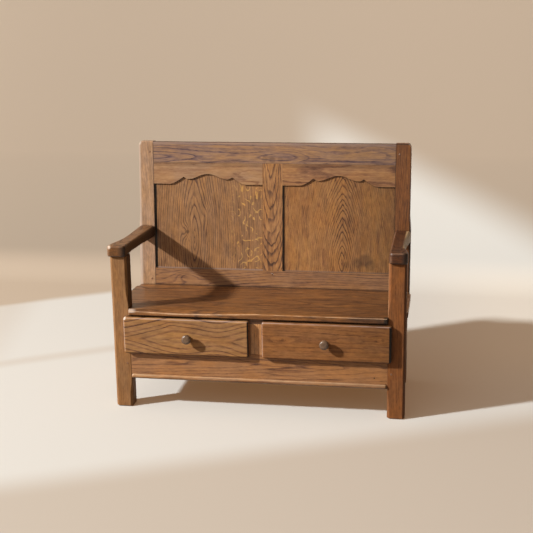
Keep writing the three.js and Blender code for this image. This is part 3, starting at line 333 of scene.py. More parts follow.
def waxed_oak(name, tones, grain="z", heart=(0.0, 0.0, 0.0), pitch=0.05, swells=(), zone=None, stains=(),
              flecks=None, grime=(), fade=None, mottle=0.14, crevice=0.6, rounded=False, thin=(0.86, 0.985),
              worn=0.5, worn_tone=(214, 184, 160), shade=LIT_SIDE, gloss=0.42, coat=0.2, shine=0.5,
              **figure):
    """Oak of one board.

    tones: light, middle, dark and deep colours, 0 to 255 as all colours here.
    heart, pitch: where the rings are centred, and the slope of the grain to the board.
    swells: lumps in the rings, as (spot, reach, rise).
    zone: where the rings are strong, as (spot, reach, figure there, figure elsewhere).
    stains: spots, as (spot, radius, strength) and a colour if they aren't brown; the pale ones are painted
    highlights.
    flecks: pale curls, as (spot, reach, colour).
    grime: a band near an edge, as (axis, start, end, strength, colour), full at the start, with
    more (axis, full, none) that keep it to a part of the board, where the axis n is the normal's y. Some bands
    are real dirt, some painted shade and some painted highlights; the painted ones are noted at each board.
    fade: how the board darkens to the right, as (start x, end x, gain at the end).
    mottle: how blotchy it is; crevice: how far painted shade blackens its corners with other pieces.
    rounded: rims are also found by the slope of the surface, which is thin[0] or less on a full rim.
    worn, worn_tone: how much and to what colour the rims that face the lamp are made pale, as wear and painted
    highlight; shade: rims that face away from this way get painted shade instead.
    gloss, coat, shine: roughness, wax and reflection.
    figure: the oak group's other inputs."""
    material, g = new_material(name)
    here = g.put("ShaderNodeTexCoord").outputs["Object"]
    place = g.put("ShaderNodeMapping", {"Vector": here, "Rotation": GRAIN_TURNS[grain]}).outputs[0]
    tone, band, pore, cloudy = cut_board(g, place, grain, heart, pitch, swells, zone, figure)
    colour = ramp_of(g, tone, tones)
    if flecks:
        colour = with_flecks(g, colour, place, grain, *flecks)
    # stains and knots, and pale painted highlights
    for mark in stains:
        colour = with_spot(g, colour, here, cloudy, *mark)
    speck = g.noise(place, "speck")
    uneven = g.steps(speck, *SPECK_CUT, 1.0 - mottle, 1.0 + mottle)
    tint = g.blend(g.patches(place, "warmth"), COOL, WARM)
    colour = g.dimmed(g.blend(1.0, colour, tint, "MULTIPLY"), uneven)

    # painted shade: corners found by ambient occlusion are blended toward near-black
    nook = g.put("ShaderNodeAmbientOcclusion", {"Distance": CREVICE_REACH}, samples=CREVICE_RAYS).outputs["AO"]
    colour = g.blend(g.steps(nook, *CREVICE_OPEN, crevice, 0.0), colour, rgb(*NEAR_BLACK))
    normal = g.put("ShaderNodeNewGeometry").outputs["Normal"]
    spots = dict(zip("xyz", g.split(here)), n=g.split(normal)[1])
    # bands of real dirt, of painted shade and of painted highlights, as listed with each board
    for entry in grime:
        colour = with_edge_band(g, colour, spots, speck, *entry)

    rim = g.put("ShaderNodeAttribute", attribute_name="rim").outputs["Fac"]
    if rounded:
        flatness = g.most(*g.split(g.vector("ABSOLUTE", normal)))
        rim = g.most(rim, g.steps(flatness, *thin, 1.0, 0.0))
    # rims that face the lamp are made pale with wear and painted highlight, and rims turned from the way shade
    # gives get painted shade
    reached = g.vector("DOT_PRODUCT", normal, LIT_SIDE)
    rubbed_and_sheen = g.times(rim, g.patches(place, "wear_and_sheen_patches"), g.steps(reached, *RUB_AND_SHEEN_TURN, 0.0, worn))
    colour = g.blend(rubbed_and_sheen, colour, rgb(*worn_tone))
    turned = g.vector("DOT_PRODUCT", normal, shade)
    shaded_rim = g.times(rim, g.steps(turned, *SHADED_TURN, SHADED_MOST, 0.0))
    colour = g.blend(shaded_rim, colour, rgb(*RIM_SHADE))
    if fade:
        start, end, last = fade
        colour = g.dimmed(colour, g.steps(spots["x"], start, end, 1.0, last))

    rough = g.add(gloss, g.times(band, LINE_ROUGH), g.times(pore, PORE_ROUGH))
    rough = g.less(rough, g.times(rim, RIM_SMOOTH))
    relief = g.add(g.times(pore, PORE_RELIEF), g.times(band, LINE_RELIEF))
    bump = g.put("ShaderNodeBump", {"Height": relief, "Strength": 0.35, "Distance": RELIEF_DEPTH})
    shader = g.put("ShaderNodeBsdfPrincipled", {
        "Base Color": colour, "Roughness": rough, "Normal": bump.outputs[0],
        "IOR": 1.45, "Specular IOR Level": shine, "Coat Weight": coat, "Coat Roughness": 0.18})
    g.close("ShaderNodeOutputMaterial", shader.outputs[0])
    return material


# ---------------------------------------------------------------- one oak for each board
INNER = 0.537                          # x of the posts' and stiles' inner faces
BACK_Y = 0.222                         # y of the panels, about half way up
FRONT_Y = -0.236                       # y of the front rail's face
DRAWER_Y = -0.26                       # y of the drawers' faces
DIRT = (62, 40, 28)
# painted shade on inner sides turned from the lamp
INNER_SHADE = (34, 20, 12)
RAIL_BLUSH = (74, 54, 54)
FRONT_ONLY = ("n", -0.85, -0.40)
ROUNDED_FRONT = ("n", -0.45, -0.10)
UNDER_SEAT = ("z", 0.46, 0.42)
FRONT_FACE = ("y", -0.244, -0.236)     # the front of the seat and of the arms' blocks
STILE_JOINTS = tuple(("x", side * INNER, side * 0.532, 0.7, DIRT) for side in (-1, 1))
# shaped rails get painted shade on the rims underneath
SHAPED_RAIL = dict(grain="x", cloud=0.2, hair=0.15, worn=0.3, shade=LIT_ABOVE, mottle=0.08)
TOP_OF_SHAPED = ("z", 0.957, 0.953, 0.25, DIRT)
POST = dict(grain="z", pitch=0.03, ring=0.008, warp=0.006, figure=0.08, fibre=0.2, hair=0.06, gloss=0.6,
            coat=0.0)
DRAWER = dict(grain="x", rounded=True, thin=(0.74, 0.92), worn=0.9, gloss=0.48, coat=0.0, shine=0.3)
ARM = dict(grain="y", pitch=0.03, ring=0.008, warp=0.006, figure=0.4, rounded=True)
BOARDS = {
    "back_top_rail": dict(
        tones=((173, 133, 97), (142, 110, 92), (100, 76, 79), (72, 51, 53)), grain="x",
        heart=(-0.62, 0.235, 0.998), pitch=0.075, power=1.5, ring=0.014, warp=0.008, cloud=0.5, hair=0.35,
        flutter=0.009, zone=((-0.44, 0.24, 1.0), (1.0, 10.0, 0.42), 0.46, 0.20),
        swells=(((0.05, 0.23, 1.0), (0.05, 1.0, 0.14), -0.030), ((0.45, 0.23, 1.02), (0.05, 1.0, 0.12), -0.02)),
        # the pale band along the top is wear and painted sheen
        grime=(*STILE_JOINTS, ("z", 1.058, 1.046, 0.45, (158, 136, 128)),
               ("z", 1.0625, 1.0595, 0.9, (74, 44, 24))),
        stains=(((-0.035, 0.24, 0.990), 0.013, 0.3, RAIL_BLUSH), ((0.0, 0.24, 0.988), 0.014, 0.35, RAIL_BLUSH),
                ((0.035, 0.24, 0.991), 0.012, 0.3, RAIL_BLUSH)),
        fade=(0.0, 0.56, 0.80), mottle=0.08, rounded=True, worn=0.18, worn_tone=(184, 152, 132), gloss=0.40),
    "back_bottom_rail": dict(
        tones=((168, 123, 83), (146, 105, 74), (113, 79, 62), (86, 56, 42)), grain="x",
        heart=(0.30, 0.19, 0.40), pitch=0.10, power=1.8, ring=0.011, warp=0.012, figure=0.42,
        swells=(((-0.39, 0.19, 0.465), (0.03, 1.0, 0.06), -0.025),),
        grime=(*STILE_JOINTS, ("z", 0.422, 0.428, 0.7, DIRT)),
        fade=(-0.1, 0.55, 0.85), mottle=0.08, worn=0.6),
    "back_muntin": dict(
        tones=((183, 133, 84), (153, 107, 68), (104, 71, 51), (80, 52, 37)), grain="z",
        heart=(-0.007, 0.261, 1.20), pitch=0.06, ring=0.0066, warp=0.002, figure=0.55,
        swells=(((-0.007, 0.24, 1.02), (1.0, 10.0, 0.16), 0.013),), worn=1.0),
    "shaped_rail_left": dict(
        tones=((180, 141, 105), (165, 124, 90), (141, 101, 73), (107, 72, 49)),
        heart=(-0.2, 0.10, 0.92), pitch=0.02, ring=0.008, warp=0.006, figure=0.35,
        grime=(STILE_JOINTS[0], ("x", -0.031, -0.036, 0.7, DIRT), TOP_OF_SHAPED), **SHAPED_RAIL),
    "shaped_rail_right": dict(
        tones=((178, 132, 89), (145, 102, 71), (113, 74, 52), (81, 54, 36)),
        heart=(0.3, 0.10, 0.95), pitch=0.03, ring=0.009, warp=0.008, figure=0.45,
        grime=(STILE_JOINTS[1], ("x", 0.031, 0.036, 0.7, DIRT), TOP_OF_SHAPED),
        fade=(0.2, 0.54, 0.86), **SHAPED_RAIL),
    "back_panel_left": dict(
        tones=((171, 126, 84), (145, 105, 70), (112, 78, 56), (81, 53, 41)), grain="z",
        heart=(-0.355, BACK_Y, 0.62), pitch=0.10, power=1.5, ring=0.010, warp=0.007, cloud=0.7, hair=0.28,
        fibre=0.24, dash=0.4, zone=((-0.34, BACK_Y, 0.70), (0.15, 10.0, 1.0), 0.66, 0.30),
        swells=(((-0.39, 0.21, 0.665), (0.022, 1.0, 0.035), 0.03),
                ((-0.30, 0.21, 0.73), (0.02, 1.0, 0.05), -0.02)),
        stains=(((-0.386, 0.21, 0.663), 0.010, 0.6),),
        flecks=((-0.105, 0.21, 0.70), (0.056, 10.0, 0.24), (206, 158, 92)),
        # painted shadow: the near-black band at the left edge, where the stile's shadow falls; the pale line
        # along the foot is dust and a painted highlight
        grime=(("x", -0.5275, -0.5235, 1.0, NEAR_BLACK), ("z", 0.4995, 0.5035, 0.6, (170, 144, 130))),
        crevice=0.85),
    "back_panel_right": dict(
        tones=((182, 132, 77), (148, 101, 61), (106, 67, 41), (77, 48, 30)), grain="z",
        heart=(0.308, 0.2085, 0.572), pitch=0.215, power=1.35, ring=0.0082, warp=0.004, flutter=0.008,
        cloud=0.6, hair=0.26, fibre=0.24, dash=0.4,
        zone=((0.312, BACK_Y, 0.72), (0.052, 10.0, 2.0), 0.78, 0.16),
        stains=(((0.405, 0.213, 0.552), 0.030, 0.45), ((0.375, 0.213, 0.538), 0.026, 0.35),
                ((0.432, 0.213, 0.530), 0.024, 0.35), ((0.33, 0.213, 0.530), 0.020, 0.25)),
        # painted shadow: the near-black band at the left edge, by the muntin; the pale line along the foot is
        # dust and a painted highlight
        grime=(("x", 0.049, 0.053, 1.0, NEAR_BLACK), ("z", 0.4995, 0.5035, 0.35, (160, 132, 116))),
        fade=(0.20, 0.54, 0.60), crevice=0.85),
    "back_stile_left": dict(
        tones=((193, 152, 118), (167, 132, 103), (144, 111, 89), (112, 81, 64)), grain="z",
        heart=(-0.66, 0.20, 0.55), pitch=0.06, ring=0.009, warp=0.010, figure=0.20, fibre=0.35, hair=0.12,
        # painted highlight: the pale band down the outer rounded edge, and the pale spot at the top corner
        dash=0.5, grime=(("x", -0.600, -0.590, 0.75, (226, 204, 186), ("n", -0.55, -0.15)),
                         ("x", -INNER, -0.5395, 0.5, DIRT)),
        stains=(((-0.600, 0.2500, 1.060), 0.013, 0.9, (240, 222, 202)),), worn=1.0, worn_tone=(226, 202, 182)),
    "back_stile_right": dict(
        tones=((139, 90, 49), (118, 73, 40), (93, 56, 33), (68, 39, 21)), grain="z",
        heart=(0.66, 0.20, 0.55), pitch=0.04, ring=0.008, warp=0.008, figure=0.3, cloud=0.9, fibre=0.4,
        # painted shade: the near-black band down the front's right edge, turned from the lamp
        hair=0.2, grime=(("x", 0.603, 0.594, 0.95, NEAR_BLACK, FRONT_ONLY),
                         ("z", 1.0625, 1.0585, 0.8, NEAR_BLACK, FRONT_ONLY),
                         ("x", INNER, 0.5395, 0.5, DIRT)), worn=0.6),
    "front_post_left": dict(
        tones=((164, 119, 74), (144, 99, 58), (126, 83, 48), (98, 62, 36)),
        heart=(-0.66, -0.16, 0.35), dash=0.4,
        # painted shade: the inner side above the seat, turned from the lamp
        grime=(("x", -0.5375, -0.5405, 0.75, INNER_SHADE, UNDER_SEAT),), worn=0.7, **POST),
    "front_post_right": dict(
        tones=((146, 91, 45), (119, 71, 35), (96, 54, 25), (64, 34, 13)),
        heart=(0.66, -0.16, 0.35), dash=0.5,
        # painted shade on the front's outer edge; a painted highlight on the inner edge above the seat
        grime=(("x", 0.6085, 0.5985, 0.8, (40, 22, 12), FRONT_ONLY),
               ("x", 0.5372, 0.5402, 0.45, (196, 150, 108), UNDER_SEAT)), worn=0.25, **POST),
    "front_lower_rail": dict(
        tones=((185, 130, 83), (161, 113, 72), (123, 80, 54), (91, 60, 42)), grain="x",
        heart=(0.0, -0.16, 0.215), pitch=0.045, power=1.6, ring=0.0095, warp=0.005, figure=0.32, hair=0.5,
        dash=0.5, fibre=0.3, stains=(((0.485, FRONT_Y, 0.175), 0.0035, 1.0),),
        fade=(0.1, 0.6, 0.86), mottle=0.08),
    "front_rail_bead": dict(
        tones=((186, 140, 98), (164, 118, 80), (130, 88, 60), (98, 64, 44)), grain="x",
        heart=(0.0, -0.16, 0.215), pitch=0.03, ring=0.009, warp=0.006, figure=0.4, hair=0.4, dash=0.3,
        fade=(0.1, 0.6, 0.82), rounded=True, thin=(0.72, 0.90), worn=0.75, worn_tone=(194, 166, 130),
        coat=0.05),
    "front_top_rail": dict(
        # its tones are dark, as painted shade and dirt for where it shows in the gap under the seat
        tones=((118, 80, 54), (98, 66, 44), (76, 50, 33), (56, 35, 22)), grain="x",
        heart=(0.0, -0.16, 0.30), pitch=0.03, ring=0.008, warp=0.006, figure=0.4, worn=0.3),
    "drawer_divider": dict(
        tones=((213, 162, 112), (180, 132, 90), (143, 101, 72), (109, 78, 57)), grain="z",
        heart=(-0.05, -0.18, 0.1), pitch=0.03, ring=0.008, warp=0.006, figure=0.15, fibre=0.3, hair=0.1,
        # painted shadow of the left drawer's front on the left part
        grime=(("x", -0.040, -0.014, 0.5, (116, 66, 44)),), worn=0.4),
    "drawer_left_front": dict(
        tones=((182, 135, 85), (157, 112, 74), (104, 71, 52), (84, 57, 44)),
        heart=(-0.30, -0.257, 0.314), pitch=0.0, power=1.6, ring=0.0225, warp=0.0012, figure=0.5, hair=0.15,
        dash=0.3, fibre=0.24, flutter=0.0025,
        swells=(((-0.31, DRAWER_Y, 0.316), (0.5, 1.0, 0.19), -0.064),
                ((-0.01, DRAWER_Y, 0.302), (0.5, 1.0, 0.115), -0.072),
                ((-0.352, DRAWER_Y, 0.372), (0.03, 1.0, 0.03), -0.008)),
        # painted shade: the rounded right edge near-black; wear and a painted highlight on the left edge; a
        # painted highlight spot at the top left corner
        grime=(("x", -0.0335, -0.0365, 1.0, NEAR_BLACK, ROUNDED_FRONT),
               ("x", -0.5575, -0.5535, 0.5, (196, 176, 166))),
        stains=(((-0.553, DRAWER_Y, 0.399), 0.008, 0.8, (244, 232, 224)),),
        worn_tone=(186, 162, 150), **DRAWER),
    "drawer_right_front": dict(
        tones=((162, 111, 66), (143, 95, 58), (112, 72, 44), (84, 55, 36)),
        heart=(0.30, -0.20, 0.335), pitch=0.02, power=1.8, ring=0.012, warp=0.004, figure=0.2, hair=0.34,
        dash=0.5, fibre=0.28,
        swells=(((0.112, DRAWER_Y, 0.332), (0.012, 1.0, 0.03), -0.03),
                ((0.39, DRAWER_Y, 0.339), (0.012, 1.0, 0.05), -0.02),
                ((0.519, DRAWER_Y, 0.346), (0.012, 1.0, 0.03), -0.02)),
        # painted shade: the rounded right edge near-black; wear and a painted highlight on the left edge
        grime=(("x", 0.5455, 0.5425, 1.0, NEAR_BLACK, ROUNDED_FRONT), ("x", 0.0252, 0.0285, 0.5, (186, 160, 146))),
        stains=(((0.069, DRAWER_Y, 0.324), 0.004, 0.35), ((0.112, DRAWER_Y, 0.332), 0.008, 0.4),
                ((0.519, DRAWER_Y, 0.346), 0.007, 0.4)),
        fade=(0.22, 0.54, 0.72), worn_tone=(176, 150, 138), **DRAWER),
    "seat_board": dict(
        tones=((140, 93, 50), (110, 71, 42), (80, 51, 30), (58, 36, 22)), grain="x",
        heart=(0.1, -0.05, 0.20), pitch=0.05, ring=0.022, warp=0.03, figure=0.3, fibre=0.55, cloud=1.1,
        hair=0.12, dash=0.5,
        # painted shade: the nose near-black at its foot, over the gap above the drawers, and the right front
        # corner; the left front corner is pale with wear and a painted highlight
        grime=(("z", 0.407, 0.411, 1.0, NEAR_BLACK, FRONT_FACE),
               ("x", -0.524, -0.500, 0.6, (232, 212, 196), ("y", -0.240, -0.228), ("z", 0.424, 0.420)),
               ("x", 0.526, 0.516, 0.95, NEAR_BLACK, ("y", -0.236, -0.226))),
        fade=(0.1, 0.6, 0.78), mottle=0.2, crevice=0.3, rounded=True, thin=(0.73, 0.87), worn=0.75,
        worn_tone=(232, 190, 150), gloss=0.36, coat=0.1),
    "arm_left": dict(
        tones=((131, 87, 44), (110, 69, 34), (86, 53, 24), (64, 37, 15)), heart=(-0.57, 0.0, 0.60),
        # painted shade on the inner side and on the right part of the block's front; a painted highlight spot
        # at the block's top left corner
        grime=(("x", -0.5375, -0.546, 0.8, INNER_SHADE), ("x", -0.552, -0.574, 0.75, (46, 29, 19), FRONT_FACE)),
        stains=(((-0.606, -0.246, 0.699), 0.009, 0.75, (226, 208, 190)),),
        worn=0.45, worn_tone=(176, 138, 110), gloss=0.38, coat=0.08, **ARM),
    "arm_right": dict(
        tones=((91, 51, 24), (75, 40, 17), (57, 30, 12), (41, 20, 6)), heart=(0.57, 0.0, 0.60),
        # painted shade on the right part of the block's front; a painted highlight on the outer edge of the
        # scoop
        grime=(("x", 0.600, 0.582, 0.85, (34, 21, 14), FRONT_FACE),
               ("x", 0.5375, 0.546, 0.7, NEAR_BLACK, FRONT_FACE),
               ("x", 0.592, 0.584, 0.7, (206, 172, 126), ("y", -0.13, -0.16))),
        worn=0.4, worn_tone=(160, 122, 96), shade=LIT_ABOVE, gloss=0.5, coat=0.0, **ARM),
}
SIDE_TONES = ((160, 114, 76), (138, 95, 62), (108, 71, 47), (80, 51, 35))
RAW_TONES = ((200, 162, 114), (182, 142, 96), (146, 106, 70), (104, 72, 48))
PEG_TONES = ((150, 110, 80), (124, 88, 64), (96, 66, 47), (70, 46, 32))
KNOB_TONES = ((132, 106, 86), (108, 84, 66), (84, 63, 49), (62, 46, 36))
looks = {node: waxed_oak("oak_" + node, **figure) for node, figure in BOARDS.items()}
side_oak = waxed_oak("oak_side", SIDE_TONES, "y", heart=(0.5, 0.0, 0.1), pitch=0.03, ring=0.008, figure=0.5)
panel_oak = waxed_oak("oak_side_panel", SIDE_TONES, "y", heart=(0.45, 0.0, 0.30), pitch=0.08, ring=0.008)
rear_oak = waxed_oak("oak_rear", SIDE_TONES, "x", heart=(0.0, 0.10, 0.2), pitch=0.04, ring=0.009, figure=0.5)
raw_oak = waxed_oak("oak_raw", RAW_TONES, "y", pitch=0.03, ring=0.007, figure=0.45, gloss=0.6)
peg_oak = waxed_oak("oak_peg", PEG_TONES, "y", ring=0.002, figure=0.4)
knob_oak = waxed_oak("oak_knob", KNOB_TONES, "y", ring=0.003, figure=0.4, gloss=0.24)


# ---------------------------------------------------------------- eased copies of the boards
SAME_WAY = 0.9                         # least cosine of two directions that count as one
ARRIS_STEPS, HEAVY_STEPS = 3, 4
FLAT_WITHIN = math.radians(0.6)
ABOVE_ARM = (0.68, 1.05)               # heights between which a stile's heavy arris is picked


def eased(node, arris, along=None, least=12 * MM, sharp=32, heavy=None):
    """A copy of a CAD node that stands for it, with its long arrises rounded.

    arris: the radius asked for. The bevel is clamped so that nothing overlaps, which leaves all of it only
    on the posts and the divider, about 0.3 mm on most other boards, and next to nothing on the muntin.
    along: the axis that the rounded arrises follow, or None for all of them.
    least: the shortest arris that is rounded. sharp: from how many degrees an edge is one.
    heavy: a larger radius, of which the clamp leaves hundredths of a millimetre, and a test that picks the
    edges that get it first.
    The attribute rim is 1 on the rounded strips."""
    mesh = NODES[node].data.copy()
    form = bmesh.new()
    form.from_mesh(mesh)
    bmesh.ops.remove_doubles(form, verts=form.verts, dist=0.01 * MM)
    bmesh.ops.dissolve_limit(form, angle_limit=FLAT_WITHIN, verts=form.verts, edges=form.edges)
    layer = form.verts.layers.float.new("rim")

    def is_edge(edge):
        return len(edge.link_faces) == 2 and edge.is_convex and edge.calc_face_angle() >= math.radians(sharp)

    def round_off(radius, steps_across, keep):
        chosen = [edge for edge in form.edges if is_edge(edge) and keep(edge)]
        if not chosen or not radius:
            return
        made = bmesh.ops.bevel(form, geom=chosen, offset=radius, offset_type="OFFSET", segments=steps_across,
                               profile=0.5, affect="EDGES", clamp_overlap=True)
        strips = set(made["faces"])
        for vert in {vert for face in strips for vert in face.verts}:
            if strips.issuperset(vert.link_faces):
                vert[layer] = 1.0

    def is_long(edge):
        run = (edge.verts[1].co - edge.verts[0].co).normalized()
        return edge.calc_length() >= least and (not along or abs(run["xyz".index(along)]) >= SAME_WAY)

    if heavy:
        form.normal_update()
        round_off(heavy[0], HEAVY_STEPS, heavy[1])
        form.normal_update()
    round_off(arris, ARRIS_STEPS, is_long)
    for face in form.faces:
        face.smooth = True
    for edge in form.edges:
        if len(edge.link_faces) == 2 and edge.calc_face_angle() > math.radians(sharp):
            edge.smooth = False
    form.to_mesh(mesh)
    form.free()
    piece = bpy.data.objects.new(f"{node}_eased", mesh)
    scene.collection.objects.link(piece)
    mesh.materials.clear()
    piece.modifiers.new("flat", "WEIGHTED_NORMAL").keep_sharp = True
    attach(piece, BODY_OF[node])
    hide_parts(node)
    return piece


def dress(node, material, arris=0.0, **options):
    """Paints a node: its eased copy, or the node itself where arris is None."""
    if arris is None:
        piece = NODES[node]
        piece.data.materials.clear()
    else:
        piece = eased(node, arris, **options)
    piece.data.materials.append(material)


def board(node, arris=0.0, **options):
    dress(node, looks[node], arris, **options)


def outer_front(outward):
    """Picks the front arris of a stile down its outer side, above the arm."""
    def test(edge):
        ways = [face.normal for face in edge.link_faces]
        front = [way.y < -SAME_WAY for way in ways]
        above_arm = all(ABOVE_ARM[0] < vert.co.z < ABOVE_ARM[1] for vert in edge.verts)
        return above_arm and any(front) and not all(front) and any(way.x * outward > SAME_WAY for way in ways)
    return test


for side, outward in zip(BOTH, (-1, 1)):
    board(f"back_stile_{side}", 2 * MM, along="z", heavy=(9 * MM, outer_front(outward)))
    board(f"front_post_{side}", 1.2 * MM, along="z", sharp=25)
    board(f"shaped_rail_{side}", 4 * MM, least=4 * MM)
    board(f"back_panel_{side}", None)
    board(f"arm_{side}", sharp=40)
    board(f"drawer_{side}_front", sharp=40)
    dress(f"drawer_{side}_knob", knob_oak, sharp=40)
    dress(f"side_top_rail_{side}", side_oak, 2 * MM, along="y")
    dress(f"side_lower_rail_{side}", side_oak, 2 * MM, along="y")
    dress(f"side_panel_{side}", panel_oak, None)
    for peg in ("top_rail_peg", "bottom_rail_peg", "front_post_peg"):
        dress(f"{peg}_{side}", peg_oak)
    for rest in ("outer_runner", "outer_guide", "outer_kicker"):
        dress(f"{rest}_{side}", raw_oak, None)
    for wall in ("left_side", "right_side", "back", "bottom"):
        dress(f"drawer_{side}_{wall}", raw_oak, None)
board("back_top_rail", 3 * MM, along="x")
board("back_bottom_rail", 3 * MM, along="x")
board("back_muntin", 2.5 * MM, along="z")
board("front_lower_rail", 1.5 * MM, along="x")
board("front_rail_bead", sharp=60)
board("front_top_rail", 1.5 * MM, along="x")
board("drawer_divider", 1 * MM, along="z")
board("seat_board", sharp=35)
dress("muntin_peg", peg_oak)
dress("seat_rail", rear_oak, 2 * MM, along="x")
dress("back_lower_rail", rear_oak, 2 * MM, along="x")
dress("back_lower_panel", rear_oak, None)
for rest in ("seat_ledger", "centre_runner", "centre_guide", "centre_kicker"):
    dress(rest, raw_oak, None)


# ---------------------------------------------------------------- camera, lamp, room
CAMERA_AT = (0.7568, -4.4786, 1.7532)
CAMERA_TURN = (9.5029, 14.5986, -0.8155)     # yaw, pitch and roll in degrees, fitted to the photo
FOCAL_PX, PHOTO_PX, SENSOR_MM = 1103.307, 533, 36.0
AIM = Vector((0.0, 0.0, 0.5))
TO_LIGHT = Vector((-14.7, -8.0, 10.1)).normalized()
KEY_FAR, KEY_SIZE, KEY_LEVEL, KEY_TINT = 19.5, 1.0, 4.3, (1.0, 0.985, 0.96)
ROOM_LEVEL, ROOM_TINT = 0.10, (1.0, 0.86, 0.72, 1.0)
ROOM_GLOWS = (((-0.62, -0.70, 0.35), 0.60, 1.5), ((0.0, 0.90, 0.44), 0.16, 1.0))   # way, amount, spread


def look_matrix(place, yaw, pitch, roll):
    yaw, pitch, roll = (math.radians(v) for v in (yaw, pitch, roll))
    forward = Vector((-math.sin(yaw) * math.cos(pitch), math.cos(yaw) * math.cos(pitch), -math.sin(pitch)))
    level = Vector((math.cos(yaw), math.sin(yaw), 0.0))
    above = level.cross(forward)
    right = level * math.cos(roll) + above * math.sin(roll)
    up = above * math.cos(roll) - level * math.sin(roll)
    turn = Matrix((right, up, -forward)).transposed().to_4x4()
    return Matrix.Translation(place) @ turn


def add_camera():
    camera = bpy.data.objects.new("camera", bpy.data.cameras.new("camera"))
    scene.collection.objects.link(camera)
    camera.matrix_world = look_matrix(CAMERA_AT, *CAMERA_TURN)
    camera.data.sensor_width = SENSOR_MM
    camera.data.lens = SENSOR_MM * FOCAL_PX / PHOTO_PX
    scene.camera = camera


def add_key():
    """One far lamp, as hard as low sun through a window."""
    lamp = bpy.data.lights.new("key", "AREA")
    lamp.shape = "DISK"
    lamp.size = KEY_SIZE
    lamp.energy = KEY_LEVEL * math.pi * KEY_FAR ** 2
    lamp.color = KEY_TINT
    piece = bpy.data.objects.new("key", lamp)
    scene.collection.objects.link(piece)
    piece.location = AIM + TO_LIGHT * KEY_FAR
    piece.rotation_euler = (AIM - piece.location).to_track_quat("-Z", "Y").to_euler()


def add_room():
    """Soft warm light from the window's side, and a little from the wall behind."""
    scene.world = bpy.data.worlds.new("room")
    scene.world.use_nodes = True
    g = Graph(scene.world.node_tree)
    g.tree.nodes.clear()
    way = g.put("ShaderNodeTexCoord").outputs["Generated"]
    level = ROOM_LEVEL
    for toward, amount, spread in ROOM_GLOWS:
        facing = g.vector("DOT_PRODUCT", way, Vector(toward).normalized())
        level = g.add(g.times(g.calc("POWER", g.most(facing, 0.0), spread), amount), level)
    room = g.put("ShaderNodeBackground", {"Color": ROOM_TINT, "Strength": level})
    g.close("ShaderNodeOutputWorld", room.outputs[0])


# ---------------------------------------------------------------- floor and wall
SWEEP = dict(near=-60.0, foot=2.3, radius=0.7, high=6.0, half=60.0, front_high=9.0, steps=16)
BOUNCE = (100, 84, 68)                 # the floor and wall as diffuse rays see them
PLAIN = (205, 190, 172)                # the room far from the bench
SHADE_NEAR, SHADE_FAR = (184, 182, 174), (178, 170, 156)
LIT_FLOOR, LIT_CORNER = (209, 215, 214), (228, 229, 222)
WALL, LIT_WALL = (206, 188, 168), (255, 253, 247)
FLOOR_GLOW = (0.145, 0.066, 0.024, 1.0)
POOL_FRONT, POOL_BACK, POOL_LEFT = 0.477, 0.615, 0.18     # slopes of the edges of the painted pool of light on the floor
PATCH_SLOPE = 0.478                                       # and of the edge of the painted patch of light on the wall
STREAK_AT = 1.02
SWEEP_DIMS = 0.75                      # power of the light's fall-off that the sweep is darkened by
# Soft edges on floor and wall in metres: from, to, and the values before and after unless they are 0 and 1.
EDGES = {
    "pool_front": (-0.80, -0.52),
    "pool_back": (2.12, 2.26, 1.0, 0.0),
    "dim_front": (0.95, 1.10),
    "dim_right": (-1.46, -1.20, 0.30, 0.0),
    "streak_side": (0.0, 0.10, 0.33, 0.0),
    "streak_end": (-0.6, -0.3, 1.0, 0.0),
    "patch_top": (0.70, 1.04, 1.0, 0.0),
    "patch_left": (-0.24, 0.16),
    "corner_left": (0.4, 1.2),
    "corner_front": (0.0, 0.8),
    "shade_back": (0.0, 0.8),
    "wall_foot": (0.0, 0.14),
    "wall_across": (-2.0, 1.5, 0.86, 1.10),
    "plain": (6.5, 11.0),
}


def sweep_mesh():
    """A floor that rises behind the bench in one sweep, and far in front of it."""
    near, foot, radius = SWEEP["near"], SWEEP["foot"], SWEEP["radius"]
    profile = [(near, SWEEP["front_high"]), (near, 0.0), (foot - radius, 0.0)]
    for i in range(1, SWEEP["steps"] + 1):
        turn = math.pi / 2 * i / SWEEP["steps"]
        profile.append((foot - radius + radius * math.sin(turn), radius - radius * math.cos(turn)))
    profile.append((foot, SWEEP["high"]))
    form = bmesh.new()
    rows = [[form.verts.new((x, y, z)) for x in (-SWEEP["half"], SWEEP["half"])] for y, z in profile]
    for a, b in zip(rows, rows[1:]):
        form.faces.new((a[0], a[1], b[1], b[0])).smooth = True
    mesh = bpy.data.meshes.new("backdrop")
    form.to_mesh(mesh)
    form.free()
    return mesh


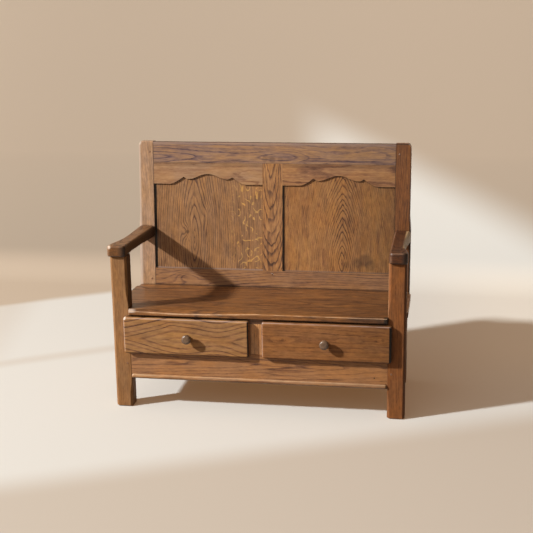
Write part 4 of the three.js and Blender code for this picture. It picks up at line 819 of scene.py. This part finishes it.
def plaster():
    """The floor and wall, painted with the window's light and shade."""
    material, g = new_material("plaster")
    here = g.put("ShaderNodeTexCoord").outputs["Object"]
    x, y, z = g.split(here)

    def edge(value, name):
        return g.steps(value, *EDGES[name])

    # a painted pool of light on the floor, cut off in front and at the back left, with one thin painted streak
    # of shade
    front = g.less(y, g.times(x, POOL_FRONT))
    behind = g.less(y, g.times(x, POOL_BACK))
    start = g.add(x, g.times(y, POOL_LEFT))
    off_streak = g.calc("ABSOLUTE", g.less(behind, STREAK_AT))
    pool = g.times(edge(front, "pool_front"), edge(behind, "pool_back"))
    dim = g.times(edge(behind, "dim_front"), edge(start, "dim_right"))
    streak = g.times(edge(off_streak, "streak_side"), edge(x, "streak_end"))
    pool = g.less(pool, g.most(dim, streak))
    # a painted patch of light low on the wall to the right
    slant = g.add(z, g.times(x, PATCH_SLOPE))
    patch = g.times(edge(slant, "patch_top"), edge(x, "patch_left"))
    corner = g.times(edge(x, "corner_left"), edge(y, "corner_front"))
    floor_shade = g.blend(edge(front, "shade_back"), rgb(*SHADE_NEAR), rgb(*SHADE_FAR))
    floor_lit = g.blend(corner, rgb(*LIT_FLOOR), rgb(*LIT_CORNER))
    floor_tone = g.blend(pool, floor_shade, floor_lit)
    wall_tone = g.blend(patch, rgb(*WALL), rgb(*LIT_WALL))
    raised = edge(z, "wall_foot")
    colour = g.blend(raised, floor_tone, wall_tone)
    # the sweep faces the lamp more than the wall does, and is painted so much darker
    level = g.put("ShaderNodeMath", {0: g.less(1.0, g.calc("DIVIDE", z, SWEEP["radius"])), 1: 0.0},
                  operation="MAXIMUM", use_clamp=True).outputs[0]
    upright = g.calc("SQRT", g.less(1.0, g.times(level, level)))
    facing = g.add(g.times(upright, -TO_LIGHT.y), g.times(level, TO_LIGHT.z))
    dimmer = g.times(g.calc("POWER", g.calc("DIVIDE", -TO_LIGHT.y, facing), SWEEP_DIMS),
                     edge(x, "wall_across"))
    colour = g.blend(raised, colour, g.dimmed(colour, dimmer))
    ray = g.put("ShaderNodeLightPath").outputs
    colour = g.blend(ray["Is Diffuse Ray"], colour, rgb(*BOUNCE))
    # painted light: for the rays that are seen, the floor glows with the warm light that other walls would
    # throw into the shadow on it
    seen = g.most(ray["Is Camera Ray"], ray["Is Glossy Ray"], ray["Is Transmission Ray"])
    lift = g.times(seen, g.less(1.0, raised))
    shader = g.put("ShaderNodeBsdfPrincipled", {
        "Base Color": colour, "Roughness": 0.9, "Specular IOR Level": 0.1,
        "Emission Color": FLOOR_GLOW, "Emission Strength": lift})
    # far from the bench the room is plain and pale, and the wall isn't seen from behind
    far = edge(g.vector("LENGTH", here), "plain")
    plain = g.put("ShaderNodeEmission", {"Color": rgb(*PLAIN), "Strength": seen})
    shown = g.put("ShaderNodeMixShader", {0: far, 1: shader.outputs[0], 2: plain.outputs[0]})
    behind_wall = g.times(g.put("ShaderNodeNewGeometry").outputs["Backfacing"], ray["Is Camera Ray"])
    clear = g.put("ShaderNodeBsdfTransparent")
    shown = g.put("ShaderNodeMixShader", {0: behind_wall, 1: shown.outputs[0], 2: clear.outputs[0]})
    g.close("ShaderNodeOutputMaterial", shown.outputs[0])
    return material


def add_backdrop():
    mesh = sweep_mesh()
    mesh.materials.append(plaster())
    piece = bpy.data.objects.new("backdrop", mesh)
    scene.collection.objects.link(piece)


add_camera()
add_key()
add_room()
add_backdrop()
scene.view_settings.view_transform = "Standard"
